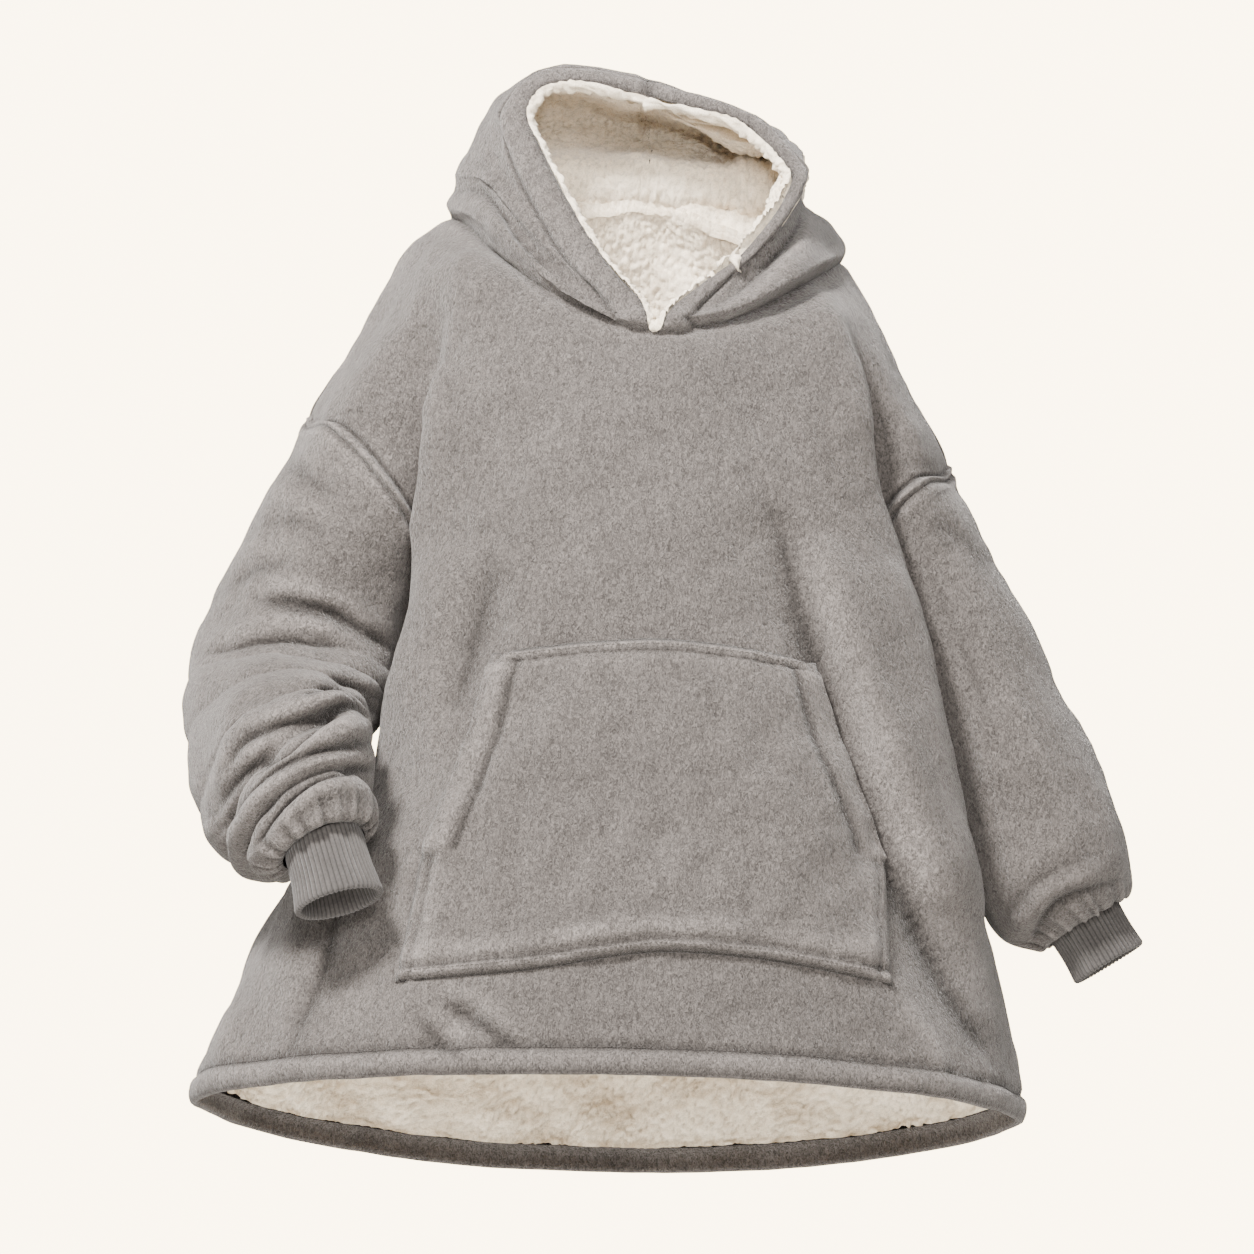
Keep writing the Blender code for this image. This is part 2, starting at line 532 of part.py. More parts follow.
def make_hood_half(table, front, back, mirrored):
    """Outer points of a hood half, neckline to crown seam."""
    middle_front = sum(FRONT_SPANS)
    middle_back = sum(BACK_SPANS)
    if mirrored:
        bottom = np.concatenate((front[-1, middle_front:], back[-1, middle_back:-1][::-1]))
    else:
        bottom = np.concatenate((front[-1, middle_front::-1], back[-1, 1:middle_back + 1]))
    shares = [0.0]
    courses = [bottom]
    for share, *stations in table:
        shares.append(share)
        courses.append(course(stations, HOOD_SPANS) * CM)
    places = np.linspace(0.0, 1.0, HOOD_ROWS + 1)
    return spline(shares, np.array(courses), places)


def seat_on_front(front, x, z):
    """Point and normal on the front's grid of facets at a place seen from the front."""
    normals = grid_normals(front)
    flat = front[:, :, (0, 2)].reshape(-1, 2)
    columns = front.shape[1]
    places = np.empty(x.shape + (3,))
    facing = np.empty(x.shape + (3,))
    for index in np.ndindex(x.shape):
        target = np.array([x[index], z[index]])
        nearest = int(np.argmin(np.sum((flat - target) ** 2, axis=1)))
        row, column = divmod(nearest, columns)
        best = None
        for r in (row - 1, row):
            for c in (column - 1, column):
                found = inside_cell(front, normals, r, c, target)
                if found is not None and (best is None or found[2] < best[2]):
                    best = found
        places[index], facing[index] = best[0], best[1]
    return places, facing


def inside_cell(front, normals, r, c, target):
    """Where a front view place falls in one cell, and by how far it misses."""
    if r < 0 or c < 0 or r + 2 > front.shape[0] or c + 2 > front.shape[1]:
        return None
    corners = front[r:r + 2, c:c + 2]
    s, t = 0.5, 0.5
    for _ in range(8):
        weights = np.array([[(1 - s) * (1 - t), s * (1 - t)], [(1 - s) * t, s * t]])
        here = np.tensordot(weights, corners, axes=((0, 1), (0, 1)))
        by_s = (corners[0, 1] - corners[0, 0]) * (1 - t) + (corners[1, 1] - corners[1, 0]) * t
        by_t = (corners[1, 0] - corners[0, 0]) * (1 - s) + (corners[1, 1] - corners[0, 1]) * s
        slope = np.array([[by_s[0], by_t[0]], [by_s[2], by_t[2]]])
        miss = target - here[[0, 2]]
        if abs(np.linalg.det(slope)) < 1e-12:
            return None
        move = np.linalg.solve(slope, miss)
        s += move[0]
        t += move[1]
    outside = max(0.0, -s, s - 1.0, -t, t - 1.0)
    weights = np.array([[(1 - s) * (1 - t), s * (1 - t)], [(1 - s) * t, s * t]])
    normal = np.tensordot(weights, normals[r:r + 2, c:c + 2], axes=((0, 1), (0, 1)))
    here = np.tensordot(weights, corners, axes=((0, 1), (0, 1)))
    return here, normal / np.linalg.norm(normal), outside


def make_pocket(front):
    """Outer and inner points of the pocket, on the front's facets."""
    heights, lefts, rights = np.array(POCKET_SIDES).T
    foot = np.array(POCKET_FOOT)
    top = np.array(POCKET_TOP)
    t = np.linspace(0.0, 1.0, POCKET_ROWS + 1)[:, None]
    s = np.array(POCKET_COLUMNS)[None, :]
    left = np.interp(t, heights, lefts)
    right = np.interp(t, heights, rights)
    x = left + (right - left) * s
    low = spline(foot[:, 0], foot[:, 1], (foot[0, 0] + (foot[-1, 0] - foot[0, 0]) * s).ravel())
    high = spline(top[:, 0], top[:, 1], (top[0, 0] + (top[-1, 0] - top[0, 0]) * s).ravel())
    z = low[None, :] + (high - low)[None, :] * t
    seats, normals = seat_on_front(front, x * CM, z * CM)
    thick = np.full(x.shape, FLEECE)
    thick[-1] = POCKET_HEM
    gap = np.full(x.shape, POCKET_GAP)
    gap[(0, -1), :] = POCKET_SEAT
    outer = seats + normals * (gap + thick)[:, :, None]
    inner = seats + normals * gap[:, :, None]
    return outer, inner


def edge_groups(surfaces):
    """Groups of edge points that lie at one place on two or more surfaces."""
    members = {}
    for name, (points, _, wrap) in surfaces.items():
        rows, columns = points.shape[:2]
        edge = {(r, c) for r in (0, rows - 1) for c in range(columns)}
        if not wrap:
            edge |= {(r, c) for r in range(rows) for c in (0, columns - 1)}
        for r, c in sorted(edge):
            key = tuple(np.round(points[r, c] / 1e-5).astype(int))
            members.setdefault(key, []).append((name, r, c))
    groups = members.values()
    return [group for group in groups if len({name for name, _, _ in group}) > 1]


def share_normals(surfaces):
    """Give the points of each seam one normal."""
    groups = edge_groups(surfaces)
    for group in groups:
        normals = np.array([surfaces[name][1][r, c] for name, r, c in group])
        inward = np.array([unit(inward_step(surfaces[name], r, c)) for name, r, c in group])
        hollow = (inward @ normals.T).sum() - (inward * normals).sum()
        tube = np.array([surfaces[name][2] for name, r, c in group])
        faced = unit(normals[~tube].sum(axis=0)) + normals[tube].sum(axis=0)
        normal = unit(faced + inward.sum(axis=0) * np.clip(hollow, 0.0, 1.0))
        for name, r, c in group:
            surfaces[name][1][r, c] = normal
    return groups


def inward_step(surface, r, c):
    """Direction from an edge point into its piece, along the cloth."""
    points, normals, wrap = surface
    rows, columns = points.shape[:2]
    inward = np.zeros(3)
    if r in (0, rows - 1):
        inward += unit(points[1 if r == 0 else rows - 2, c] - points[r, c])
    if not wrap and c in (0, columns - 1):
        inward += unit(points[r, 1 if c == 0 else columns - 2] - points[r, c])
    return inward


def part_seams(surfaces, groups, gap):
    """Draw the sewn edges back, so that a seam gap parts the pieces."""
    steps = []
    for group in groups:
        for name, r, c in group:
            normal = surfaces[name][1][r, c]
            inward = inward_step(surfaces[name], r, c)
            inward = inward - normal * np.dot(inward, normal)
            seam = seam_run(surfaces[name], r, c)
            inward = inward - seam * np.dot(inward, seam)
            steps.append((name, r, c, unit(inward) * gap))
    for name, r, c, step in steps:
        surfaces[name][0][r, c] += step


def seam_run(surface, r, c):
    """Direction of the seam at an edge point, or none at a corner."""
    points, _, wrap = surface
    rows, columns = points.shape[:2]
    if not wrap and r in (0, rows - 1) and c in (0, columns - 1):
        return np.zeros(3)
    if r in (0, rows - 1):
        return unit(points[r, (c + 1) % columns] - points[r, c - 1])
    return unit(points[r + 1, c] - points[r - 1, c])


def unit(vector):
    """The vector at length one."""
    return vector / max(np.linalg.norm(vector), 1e-12)


def solid_from_grids(name, outer, inner, material, collection, wrap=False):
    """One closed wall between an outer and an inner grid of the same size."""
    rows, columns = outer.shape[:2]
    vertices = np.concatenate((outer.reshape(-1, 3), inner.reshape(-1, 3)))
    skip = rows * columns
    faces = []
    spans = columns if wrap else columns - 1
    for r in range(rows - 1):
        for c in range(spans):
            d = (c + 1) % columns
            a, b = r * columns + c, r * columns + d
            e, f = (r + 1) * columns + d, (r + 1) * columns + c
            faces.append((a, b, e, f))
            faces.append((skip + a, skip + f, skip + e, skip + b))
    for c in range(spans):
        d = (c + 1) % columns
        last = (rows - 1) * columns
        faces.append((d, c, skip + c, skip + d))
        faces.append((last + c, last + d, skip + last + d, skip + last + c))
    if not wrap:
        for r in range(rows - 1):
            a, b = r * columns, (r + 1) * columns
            faces.append((a, b, skip + b, skip + a))
            a, b = a + columns - 1, b + columns - 1
            faces.append((b, a, skip + a, skip + b))
    if enclosed_volume(vertices, faces) < 0:
        faces = [face[::-1] for face in faces]
    mesh = bpy.data.meshes.new(name)
    mesh.from_pydata(vertices.tolist(), [], faces)
    mesh.shade_smooth()
    mesh.set_sharp_from_angle(angle=math.radians(50))
    mesh.materials.append(material)
    piece = bpy.data.objects.new(name, mesh)
    collection.objects.link(piece)
    return piece


def enclosed_volume(vertices, faces):
    """Signed volume inside four-sided faces."""
    corners = vertices[np.array(faces)]
    first = np.einsum("ij,ij->i", corners[:, 0], np.cross(corners[:, 1], corners[:, 2]))
    second = np.einsum("ij,ij->i", corners[:, 0], np.cross(corners[:, 2], corners[:, 3]))
    return (first + second).sum() / 6.0


def make_material(name, colour, roughness):
    """Principled material of one plain finish."""
    material = bpy.data.materials.new(name)
    material.use_nodes = True
    shader = material.node_tree.nodes["Principled BSDF"]
    shader.inputs["Base Color"].default_value = (*colour, 1.0)
    shader.inputs["Roughness"].default_value = roughness
    shader.inputs["Metallic"].default_value = 0.0
    material.diffuse_color = (*colour, 1.0)
    return material


def wall_thickness(name, points):
    """Wall thickness by point: thicker at the turned hem, thinner at an armhole."""
    thick = np.full(points.shape[:2], FLEECE)
    if name.endswith("panel"):
        places = panel_places()
        armhole = (places > UNDERARM - 0.01) & (places < ARMHOLE_TOP)
        thick[0] = HEM_FOLD
        thick[armhole, 0] = SEAM_WALL
        thick[armhole, -1] = SEAM_WALL
    if name.startswith("sleeve"):
        thick[0] = SEAM_WALL
        thick[1] = (SEAM_WALL + FLEECE) / 2
    return thick[:, :, None]


def clear_scene():
    """Remove every object of the open file."""
    for item in list(bpy.data.objects):
        bpy.data.objects.remove(item, do_unlink=True)


def lining_fullness(hood, rows, columns):
    """Share of its full thickness and slack that a lining has at each point."""
    index = np.arange(columns)
    if hood:
        full = np.tile(np.clip((index - 1) / HOOD_TAPER, 0.0, 1.0), (len(rows), 1))
        full[(0, -1), :] *= SEWN_SHARE
        return full
    edge = np.clip((np.minimum(index, columns - 1 - index) - 1) / PANEL_TAPER, 0.0, 1.0)
    places = panel_places()[rows]
    armhole = np.clip(1.6 - np.abs(places - (UNDERARM + 1.5)) / 1.6, 0.0, 1.0)
    full = 1.0 - armhole[:, None] * (1.0 - edge[None, :])
    full[(0, -1), :] *= SEWN_SHARE
    return full


def lining_surface(name, points, normals):
    """Points and normals of a lining's outer face, inside its shell."""
    hood = name.startswith("hood")
    step = LINING_STEP["hood" if hood else "panel"]
    rows = list(range(0 if hood else 1, points.shape[0] - 1, step)) + [points.shape[0] - 1]
    points = points[rows]
    normals = normals[rows]
    if hood:
        points = points[:, 1:]
        normals = normals[:, 1:]
    full = lining_fullness(hood, rows, points.shape[1])
    gap = np.full(full.shape, LINING_GAP)
    gap[0] = LINING_SEWN
    if hood:
        gap = LINING_SEAT + (HOOD_LINING_GAP - LINING_SEAT) * full
    lining = points - normals * (FLEECE + gap)[:, :, None]
    neck, above = (0, 1) if hood else (-1, -2)
    lining[neck] += (lining[above] - lining[neck]) * NECK_SET_BACK
    if not hood:
        places = panel_places()[rows]
        open_rows = (places > UNDERARM - 0.5) & (places < ARMHOLE_TOP + 0.3)
        lining[open_rows, 0] += (lining[open_rows, 1] - lining[open_rows, 0]) * ARMHOLE_SET_BACK
        lining[open_rows, -1] += (lining[open_rows, -2] - lining[open_rows, -1]) * ARMHOLE_SET_BACK
    if hood:
        places = np.array(rows) / HOOD_ROWS
        columns = np.linspace(0.0, 1.0, points.shape[1])
        height = np.exp(-(((places - SHELF_PLACE) / SHELF_REACH) ** 2)) - math.exp(-2.4)
        height = np.clip(height, 0.0, None) * (places > 0.01)
        width = np.clip((columns - 0.42) / 0.45, 0.0, 1.0)
        width = width**2 * (3 - 2 * width)
        lining[:, :, 1] -= SHELF_PUSH * CM * height[:, None] * width[None, :]
        fresh = grid_normals(lining)
        flip = np.sign(np.einsum("ijk,ijk->", fresh, normals))
        pushed = (height[:, None] * width[None, :])[:, :, None] > 0.02
        normals = np.where(pushed, fresh * flip, normals)
    thick = SHERPA_THIN + (SHERPA - SHERPA_THIN) * full
    return lining, normals, thick


def facing_out(name, points, wrap):
    """Normals of a shell's grid, pointing away from the wearer."""
    normals = grid_normals(points, wrap)
    core = points.mean(axis=1, keepdims=True) if wrap else points.mean(axis=(0, 1))
    if name == "front_panel":
        core = core + np.array([0.0, 1.0, 0.0])
    if name == "back_panel":
        core = core - np.array([0.0, 1.0, 0.0])
    if name.startswith("hood"):
        core = np.array([0.0, 0.0, 0.1])
    if np.einsum("ijk,ijk->", points - core, normals) < 0:
        normals = -normals
    rounds = HOOD_NORMAL_ROUNDS if name.startswith("hood") else NORMAL_ROUNDS
    return smoothed(normals, rounds, wrap)


def build():
    """Make all the pieces of the hoodie."""
    clear_scene()
    parts = bpy.data.collections.new("blanket_hoodie")
    bpy.context.scene.collection.children.link(parts)
    front = make_panel(True)
    back = make_panel(False)
    meet_at_sides(front, back)
    loops = {"left": armhole_loop(front, back, 0), "right": armhole_loop(front, back, -1)}
    shells = {
        "front_panel": (front, False),
        "back_panel": (back, False),
        "sleeve_left": (make_sleeve(loops["left"], SLEEVE_LEFT), True),
        "sleeve_right": (make_sleeve(loops["right"], SLEEVE_RIGHT), True),
        "hood_left": (make_hood_half(HOOD_LEFT, front, back, False), False),
        "hood_right": (make_hood_half(HOOD_RIGHT, front, back, True), False),
    }
    surfaces = {}
    for name, (points, wrap) in shells.items():
        surfaces[name] = (points.copy(), facing_out(name, points, wrap), wrap)
    groups = share_normals(surfaces)
    linings = {}
    thicknesses = {}
    for name, (points, normals, wrap) in surfaces.items():
        if not wrap:
            outer, facing, thick = lining_surface(name, points, normals)
            lining = name.replace("_panel", "") + "_lining"
            linings[lining] = (outer, facing.copy(), False)
            thicknesses[lining] = thick[:, :, None]
    part_seams(surfaces, groups, SEAM_GAP)
    for name, (points, normals, wrap) in surfaces.items():
        thick = wall_thickness(name, points)
        finish = make_material(name + "_fleece", FLEECE_GREY, 0.95)
        solid_from_grids(name, points, points - normals * thick, finish, parts, wrap)
    groups = share_normals(linings)
    part_seams(linings, groups, LINING_SEAM_GAP)
    for name, (points, normals, wrap) in linings.items():
        finish = make_material(name + "_sherpa", SHERPA_CREAM, 1.0)
        inner = points - normals * thicknesses[name]
        solid_from_grids(name, points, inner, finish, parts, wrap)
    for name, table in (("cuff_left", CUFF_LEFT), ("cuff_right", CUFF_RIGHT)):
        outer, inner = make_cuff(table)
        finish = make_material(name + "_rib", RIB_GREY, 0.9)
        solid_from_grids(name, outer, inner, finish, parts, True)
    outer, inner = make_pocket(front)
    solid_from_grids("pocket", outer, inner, make_material("pocket_fleece", FLEECE_GREY, 0.95), parts)


build()
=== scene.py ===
"""Wearable blanket hoodie for Blender: plush shells, sherpa linings, ribbed cuffs.

Frame: metres, +Z up, +X to the viewer's right, the front faces -Y, and the
origin is the middle of the neck opening.  "Left" and "right" are the viewer's.

Each piece of cloth is a grid of points through its solid's own sections, with
its creases, seams and turned edges raised or pressed in by the tables below.
"""
import math

import bpy
import numpy as np
from mathutils.bvhtree import BVHTree
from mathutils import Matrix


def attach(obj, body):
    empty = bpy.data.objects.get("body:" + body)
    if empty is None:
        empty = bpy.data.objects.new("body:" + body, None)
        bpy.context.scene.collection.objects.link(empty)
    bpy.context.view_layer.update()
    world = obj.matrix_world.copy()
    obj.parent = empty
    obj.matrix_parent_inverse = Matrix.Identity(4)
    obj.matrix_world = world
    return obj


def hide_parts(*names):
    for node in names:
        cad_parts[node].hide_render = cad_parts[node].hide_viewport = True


bl_info = {
    "name": "Blanket hoodie",
    "version": (1, 0, 0),
    "blender": (4, 5, 0),
    "location": "View3D > Sidebar > Hoodie",
    "description": "Builds a wearable blanket hoodie over its fixed frame",
    "category": "Add Mesh",
}

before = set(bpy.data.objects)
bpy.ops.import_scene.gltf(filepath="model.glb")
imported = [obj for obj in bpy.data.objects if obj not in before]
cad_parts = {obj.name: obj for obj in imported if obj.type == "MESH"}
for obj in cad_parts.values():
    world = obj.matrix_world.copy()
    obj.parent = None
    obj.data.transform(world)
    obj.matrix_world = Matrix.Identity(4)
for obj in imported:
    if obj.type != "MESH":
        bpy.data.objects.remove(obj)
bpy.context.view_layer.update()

# The tables give sizes in centimetres, and heights of creases in millimetres
CM = 0.01
MM = 0.001

# Walls of the solids, in metres
FLEECE = 0.003
SHERPA = 0.006
SHERPA_THIN = 0.0018
LINING_GAP = 0.003
LINING_SEAT = 0.0036
LINING_SEWN = 0.0008
HOOD_LINING_GAP = 0.0046
POCKET_GAP = 0.0037

# How many mesh steps of the cloth stand for one step of its solid
DETAIL = 8

# Columns of points between the stations of a section, side seam to centre
FRONT_SPANS = (2, 2, 2, 3, 4)
BACK_SPANS = (1, 1, 2, 2, 3)
HOOD_SPANS = (2, 2, 4, 5, 4, 5)

# Torso below the armholes, a row for each level.  z: height at the left and
# the right edge.  left, right: the widest points.  front, back: depth from the
# middle.  dent: how far the arm pushes each side in.  lift, drop: how far the
# middle of the front hangs higher, and of the back lower, than the edges.
# edge: share of the way from side seam to centre where the edge column lies.
TORSO_COLUMNS = (
    "name", "z_left", "z_right", "left", "right", "front", "back",
    "dent_left", "dent_right", "lift", "drop", "edge",
)
TORSO = (
    ("hem", -73.9, -75.4, -43.2, 35.1, 19.5, 18.8, 0.0, 0.0, 1.3, 3.8, 0.43),
    ("hem top", -71.2, -72.6, -42.8, 34.9, 19.4, 18.6, 0.0, 0.0, 1.3, 3.7, 0.43),
    ("skirt", -65.1, -66.0, -39.7, 33.7, 19.0, 18.0, 0.0, 0.0, 1.2, 3.0, 0.42),
    ("hip", -58.9, -59.9, -37.1, 32.6, 18.6, 17.3, 0.0, 0.0, 1.0, 2.2, 0.40),
    ("wrist", -52.6, -53.4, -33.4, 31.0, 18.0, 16.6, 0.4, 0.6, 0.8, 1.4, 0.38),
    ("waist", -46.2, -46.8, -27.6, 29.5, 17.3, 15.9, 1.6, 2.8, 0.5, 0.8, 0.36),
    ("belly", -39.1, -39.5, -25.9, 27.9, 16.6, 15.2, 2.2, 4.6, 0.2, 0.4, 0.34),
    ("ribs", -32.6, -33.4, -24.4, 26.5, 16.0, 14.7, 2.2, 5.8, 0.0, 0.1, 0.32),
    ("underarm", -25.3, -27.3, -23.2, 25.2, 15.5, 14.2, 2.1, 5.8, 0.0, 0.0, 0.30),
)
SIDE_DEPTH_LEFT = 1.2
SIDE_DEPTH_RIGHT = 2.8
DENT_REACH = 8.6
DENT_ROUND = 3.0
SQUARENESS = 0.9

# Front above the armholes, a row for each course from side to side.  The
# stations run from the left seam over the arm into the fold beside the chest,
# over the chest's edge and a quarter point to the centre, and out again.
FRONT_COURSES = (
    ("armhole low",
     (-22.6, -4.6, -20.3), (-21.9, -4.3, -19.8), (-21.4, -4.9, -19.5),
     (-22.4, -8.2, -21.3), (-11.2, -13.8, -20.9), (0.0, -15.0, -20.7),
     (11.2, -13.8, -21.9), (23.4, -7.6, -21.7), (21.0, -3.6, -20.9),
     (20.9, -2.0, -21.5), (21.2, -0.6, -22.3)),
    ("armhole mid",
     (-26.0, -7.4, -15.2), (-23.4, -7.0, -14.5), (-21.3, -6.3, -13.6),
     (-21.6, -9.5, -13.4), (-10.8, -13.7, -14.7), (0.0, -14.8, -15.9),
     (10.7, -13.7, -16.2), (22.1, -8.6, -17.6), (21.3, -5.2, -16.4),
     (22.3, -4.7, -17.3), (23.4, -4.8, -18.3)),
    ("armhole high",
     (-30.3, -5.2, -10.4), (-26.0, -7.4, -9.3), (-21.0, -7.1, -7.9),
     (-20.7, -10.0, -7.3), (-10.3, -13.4, -9.4), (0.1, -14.6, -11.6),
     (10.3, -13.4, -11.3), (20.9, -9.5, -12.3), (20.8, -6.0, -11.6),
     (23.5, -5.6, -14.1), (26.0, -4.8, -15.9)),
    ("armhole top",
     (-33.0, 0.5, -8.5), (-28.4, -6.2, -7.9), (-20.4, -7.2, -4.5),
     (-19.2, -10.2, -3.9), (-9.9, -13.0, -6.0), (0.2, -14.3, -8.2),
     (9.9, -13.0, -8.4), (20.0, -9.8, -7.2), (20.4, -6.2, -7.4),
     (25.6, -4.5, -11.4), (29.0, 2.5, -12.9)),
    ("shoulder low",
     (-28.5, 0.5, -1.2), (-24.9, -4.8, -0.4), (-20.1, -7.8, 0.9),
     (-18.1, -10.0, 0.9), (-9.4, -12.4, -3.0), (0.3, -13.9, -5.5),
     (9.6, -12.4, -5.4), (18.5, -9.5, -1.9), (19.7, -6.6, -1.7),
     (22.8, -3.5, -4.0), (25.1, 2.2, -5.2)),
    ("shoulder high",
     (-23.5, 0.8, 8.2), (-21.5, -3.2, 6.8), (-19.2, -6.6, 5.8),
     (-17.0, -9.0, 4.8), (-9.0, -11.8, -1.0), (0.4, -13.5, -4.0),
     (8.9, -11.7, -3.1), (16.8, -8.2, 1.3), (18.8, -5.0, 2.2),
     (20.2, -2.0, 2.2), (21.3, 2.0, 3.1)),
    ("neckline",
     (-19.5, 1.0, 11.4), (-18.5, -2.0, 10.3), (-17.1, -4.5, 8.8),
     (-15.2, -6.8, 6.5), (-8.5, -11.2, 0.7), (0.4, -13.2, -2.8),
     (8.0, -10.8, -1.2), (15.0, -6.0, 3.3), (16.8, -3.5, 4.8),
     (18.0, -1.0, 6.1), (18.6, 2.0, 7.3)),
)

# Back above the armholes: the front's stations, with these depths, and with
# the middle stations raised towards the higher neckline at the back.
BACK_COURSES = (
    ("armhole low", 6.4, 6.6, 7.0, 9.8, 13.2, 13.9, 13.2, 10.2, 7.4, 6.7, 6.2, 0.8),
    ("armhole mid", 8.9, 8.8, 8.5, 10.8, 13.2, 13.8, 13.2, 11.0, 9.4, 9.5, 9.8, 2.6),
    ("armhole high", 6.6, 8.8, 8.9, 10.9, 13.0, 13.5, 13.0, 11.2, 9.7, 10.2, 9.4, 4.6),
    ("armhole top", 0.5, 7.4, 8.6, 10.6, 12.5, 13.0, 12.5, 10.8, 9.6, 9.4, 2.5, 6.6),
    ("shoulder low", 0.5, 5.6, 8.0, 9.8, 11.8, 12.2, 11.8, 10.2, 8.8, 7.2, 2.2, 9.4),
    ("shoulder high", 0.8, 4.2, 6.6, 8.2, 10.4, 10.8, 10.4, 8.6, 7.2, 5.4, 2.0, 13.0),
    ("neckline", 1.0, 3.2, 4.8, 6.2, 8.9, 9.6, 8.9, 7.0, 5.6, 4.2, 2.0, 15.5),
)
BACK_RISE_SHARE = (0.0, 0.02, 0.08, 0.22, 0.75, 1.0, 0.75, 0.30, 0.12, 0.04, 0.0)

# Sleeves, a row for each section: the outer and the inner point of its widest
# line as seen from the front, the depth of its middle, its half depth, how far
# its front tips up, and how far the cloth swells between it and the next one.
SLEEVE_COLUMNS = (
    "name", "x_outer", "z_outer", "x_inner", "z_inner", "y", "half_depth",
    "tip", "swell",
)
SLEEVE_LEFT = (
    ("upper arm", -36.0, -14.6, -23.0, -28.6, 1.0, 7.8, 0.0, 0.0),
    ("above elbow", -39.6, -21.4, -23.5, -31.6, 1.6, 8.4, 0.4, 0.0),
    ("elbow fold", -42.3, -28.4, -24.0, -34.0, 1.6, 9.0, 1.0, 0.3),
    ("elbow", -43.7, -34.4, -24.9, -36.3, 0.0, 8.8, 2.6, 0.5),
    ("forearm", -43.3, -40.4, -26.6, -38.2, -4.5, 8.0, 4.2, 0.5),
    ("roll 1", -41.8, -46.9, -26.8, -39.4, -9.5, 7.0, 5.0, 1.1),
    ("roll 2", -38.8, -50.8, -26.4, -42.0, -13.2, 6.0, 4.8, 1.3),
    ("roll 3", -36.8, -52.4, -26.8, -47.0, -15.8, 5.0, 3.4, 1.4),
    ("gather", -33.9, -54.1, -26.2, -51.1, -17.4, 3.1, 1.2, 0.0),
)
SLEEVE_RIGHT = (
    ("upper arm", 31.0, -17.2, 22.4, -31.6, 2.9, 7.4, 0.0, 0.0),
    ("above elbow", 34.6, -24.6, 23.9, -36.4, 3.1, 7.6, 0.0, 0.0),
    ("elbow", 38.6, -33.0, 25.9, -41.6, 3.3, 7.8, 0.0, 0.0),
    ("forearm", 42.6, -41.6, 28.7, -48.4, 3.6, 7.9, 0.0, 0.0),
    ("low forearm", 45.2, -48.4, 30.8, -54.0, 3.9, 7.7, 0.0, 0.0),
    ("blouse", 45.6, -52.2, 33.2, -57.8, 3.8, 6.6, 0.0, 0.0),
    ("turn", 45.3, -53.9, 36.6, -58.9, 4.0, 4.6, 0.0, 0.0),
    ("gather", 44.64, -54.25, 37.85, -58.95, 4.0, 2.9, 0.0, 0.0),
)
CUFF_LEFT = (
    ("gather", -33.4, -53.9, -26.6, -51.2, -17.4, 2.4, 0.6, 0.0),
    ("end", -32.6, -58.4, -24.7, -56.4, -18.2, 2.5, 0.9, 0.0),
)
CUFF_RIGHT = (
    ("gather", 44.1, -53.9, 38.1, -58.2, 4.0, 2.4, 0.0, 0.0),
    ("end", 46.6, -58.2, 40.3, -62.0, 4.2, 2.5, 0.0, 0.0),
)

# Rows of points from one sleeve section to the next, more where it swells
PLAIN_ROWS = 2
ROLL_ROWS = 4
SLEEVE_DETAIL = 6

# Hood halves above the neckline, a row for each course from the face opening
# round to the middle of the back.  The stations are the rim, its stitching,
# the front of the side, the side, its widest point, the nape's corner and the
# centre seam.  share: the course's place between neckline and crown seam.
HOOD_LEFT = (
    (0.07, (-0.2, -13.8, -1.7), (-3.2, -13.7, -1.6), (-8.5, -12.8, 1.8),
     (-15.0, -9.0, 8.1), (-19.9, 0.8, 12.7), (-14.4, 8.8, 14.4), (0.1, 11.4, 14.6)),
    (0.17, (-1.0, -13.4, 0.1), (-4.2, -12.8, 0.0), (-9.9, -11.0, 4.5),
     (-15.2, -7.0, 11.8), (-19.0, 0.5, 14.4), (-14.4, 8.0, 16.2), (0.0, 10.0, 16.2)),
    (0.32, (-3.6, -12.4, 3.3), (-7.1, -12.0, 3.4), (-11.8, -9.8, 8.2),
     (-16.0, -6.2, 13.5), (-18.8, 0.0, 15.9), (-15.0, 9.8, 18.8), (0.0, 12.4, 18.4)),
    (0.50, (-6.6, -10.8, 8.0), (-10.1, -10.3, 8.1), (-13.8, -7.8, 13.1),
     (-16.4, -4.5, 16.8), (-17.4, 1.0, 18.5), (-14.6, 11.2, 21.8), (0.0, 15.0, 20.4)),
    (0.66, (-10.0, -8.6, 15.0), (-13.5, -8.0, 15.5), (-15.3, -5.5, 18.5),
     (-15.9, -2.5, 20.2), (-15.7, 2.0, 21.4), (-13.1, 11.0, 24.2), (0.0, 15.2, 22.8)),
    (0.80, (-11.8, -7.6, 20.4), (-14.5, -6.6, 20.7), (-14.3, -4.5, 22.2),
     (-13.8, -2.0, 23.5), (-13.1, 2.0, 24.7), (-10.2, 10.0, 25.8), (0.0, 14.5, 24.8)),
    (0.91, (-8.6, -6.4, 23.3), (-9.7, -5.2, 24.8), (-9.6, -3.5, 25.3),
     (-9.0, -1.0, 25.8), (-8.2, 2.5, 26.4), (-5.8, 8.0, 26.6), (0.0, 12.5, 26.0)),
    (1.00, (-0.2, -6.0, 22.1), (-0.2, -4.8, 23.6), (-0.2, -3.0, 24.3),
     (-0.2, -0.5, 24.8), (-0.2, 2.5, 25.4), (-0.1, 6.0, 25.9), (0.0, 9.5, 26.2)),
)
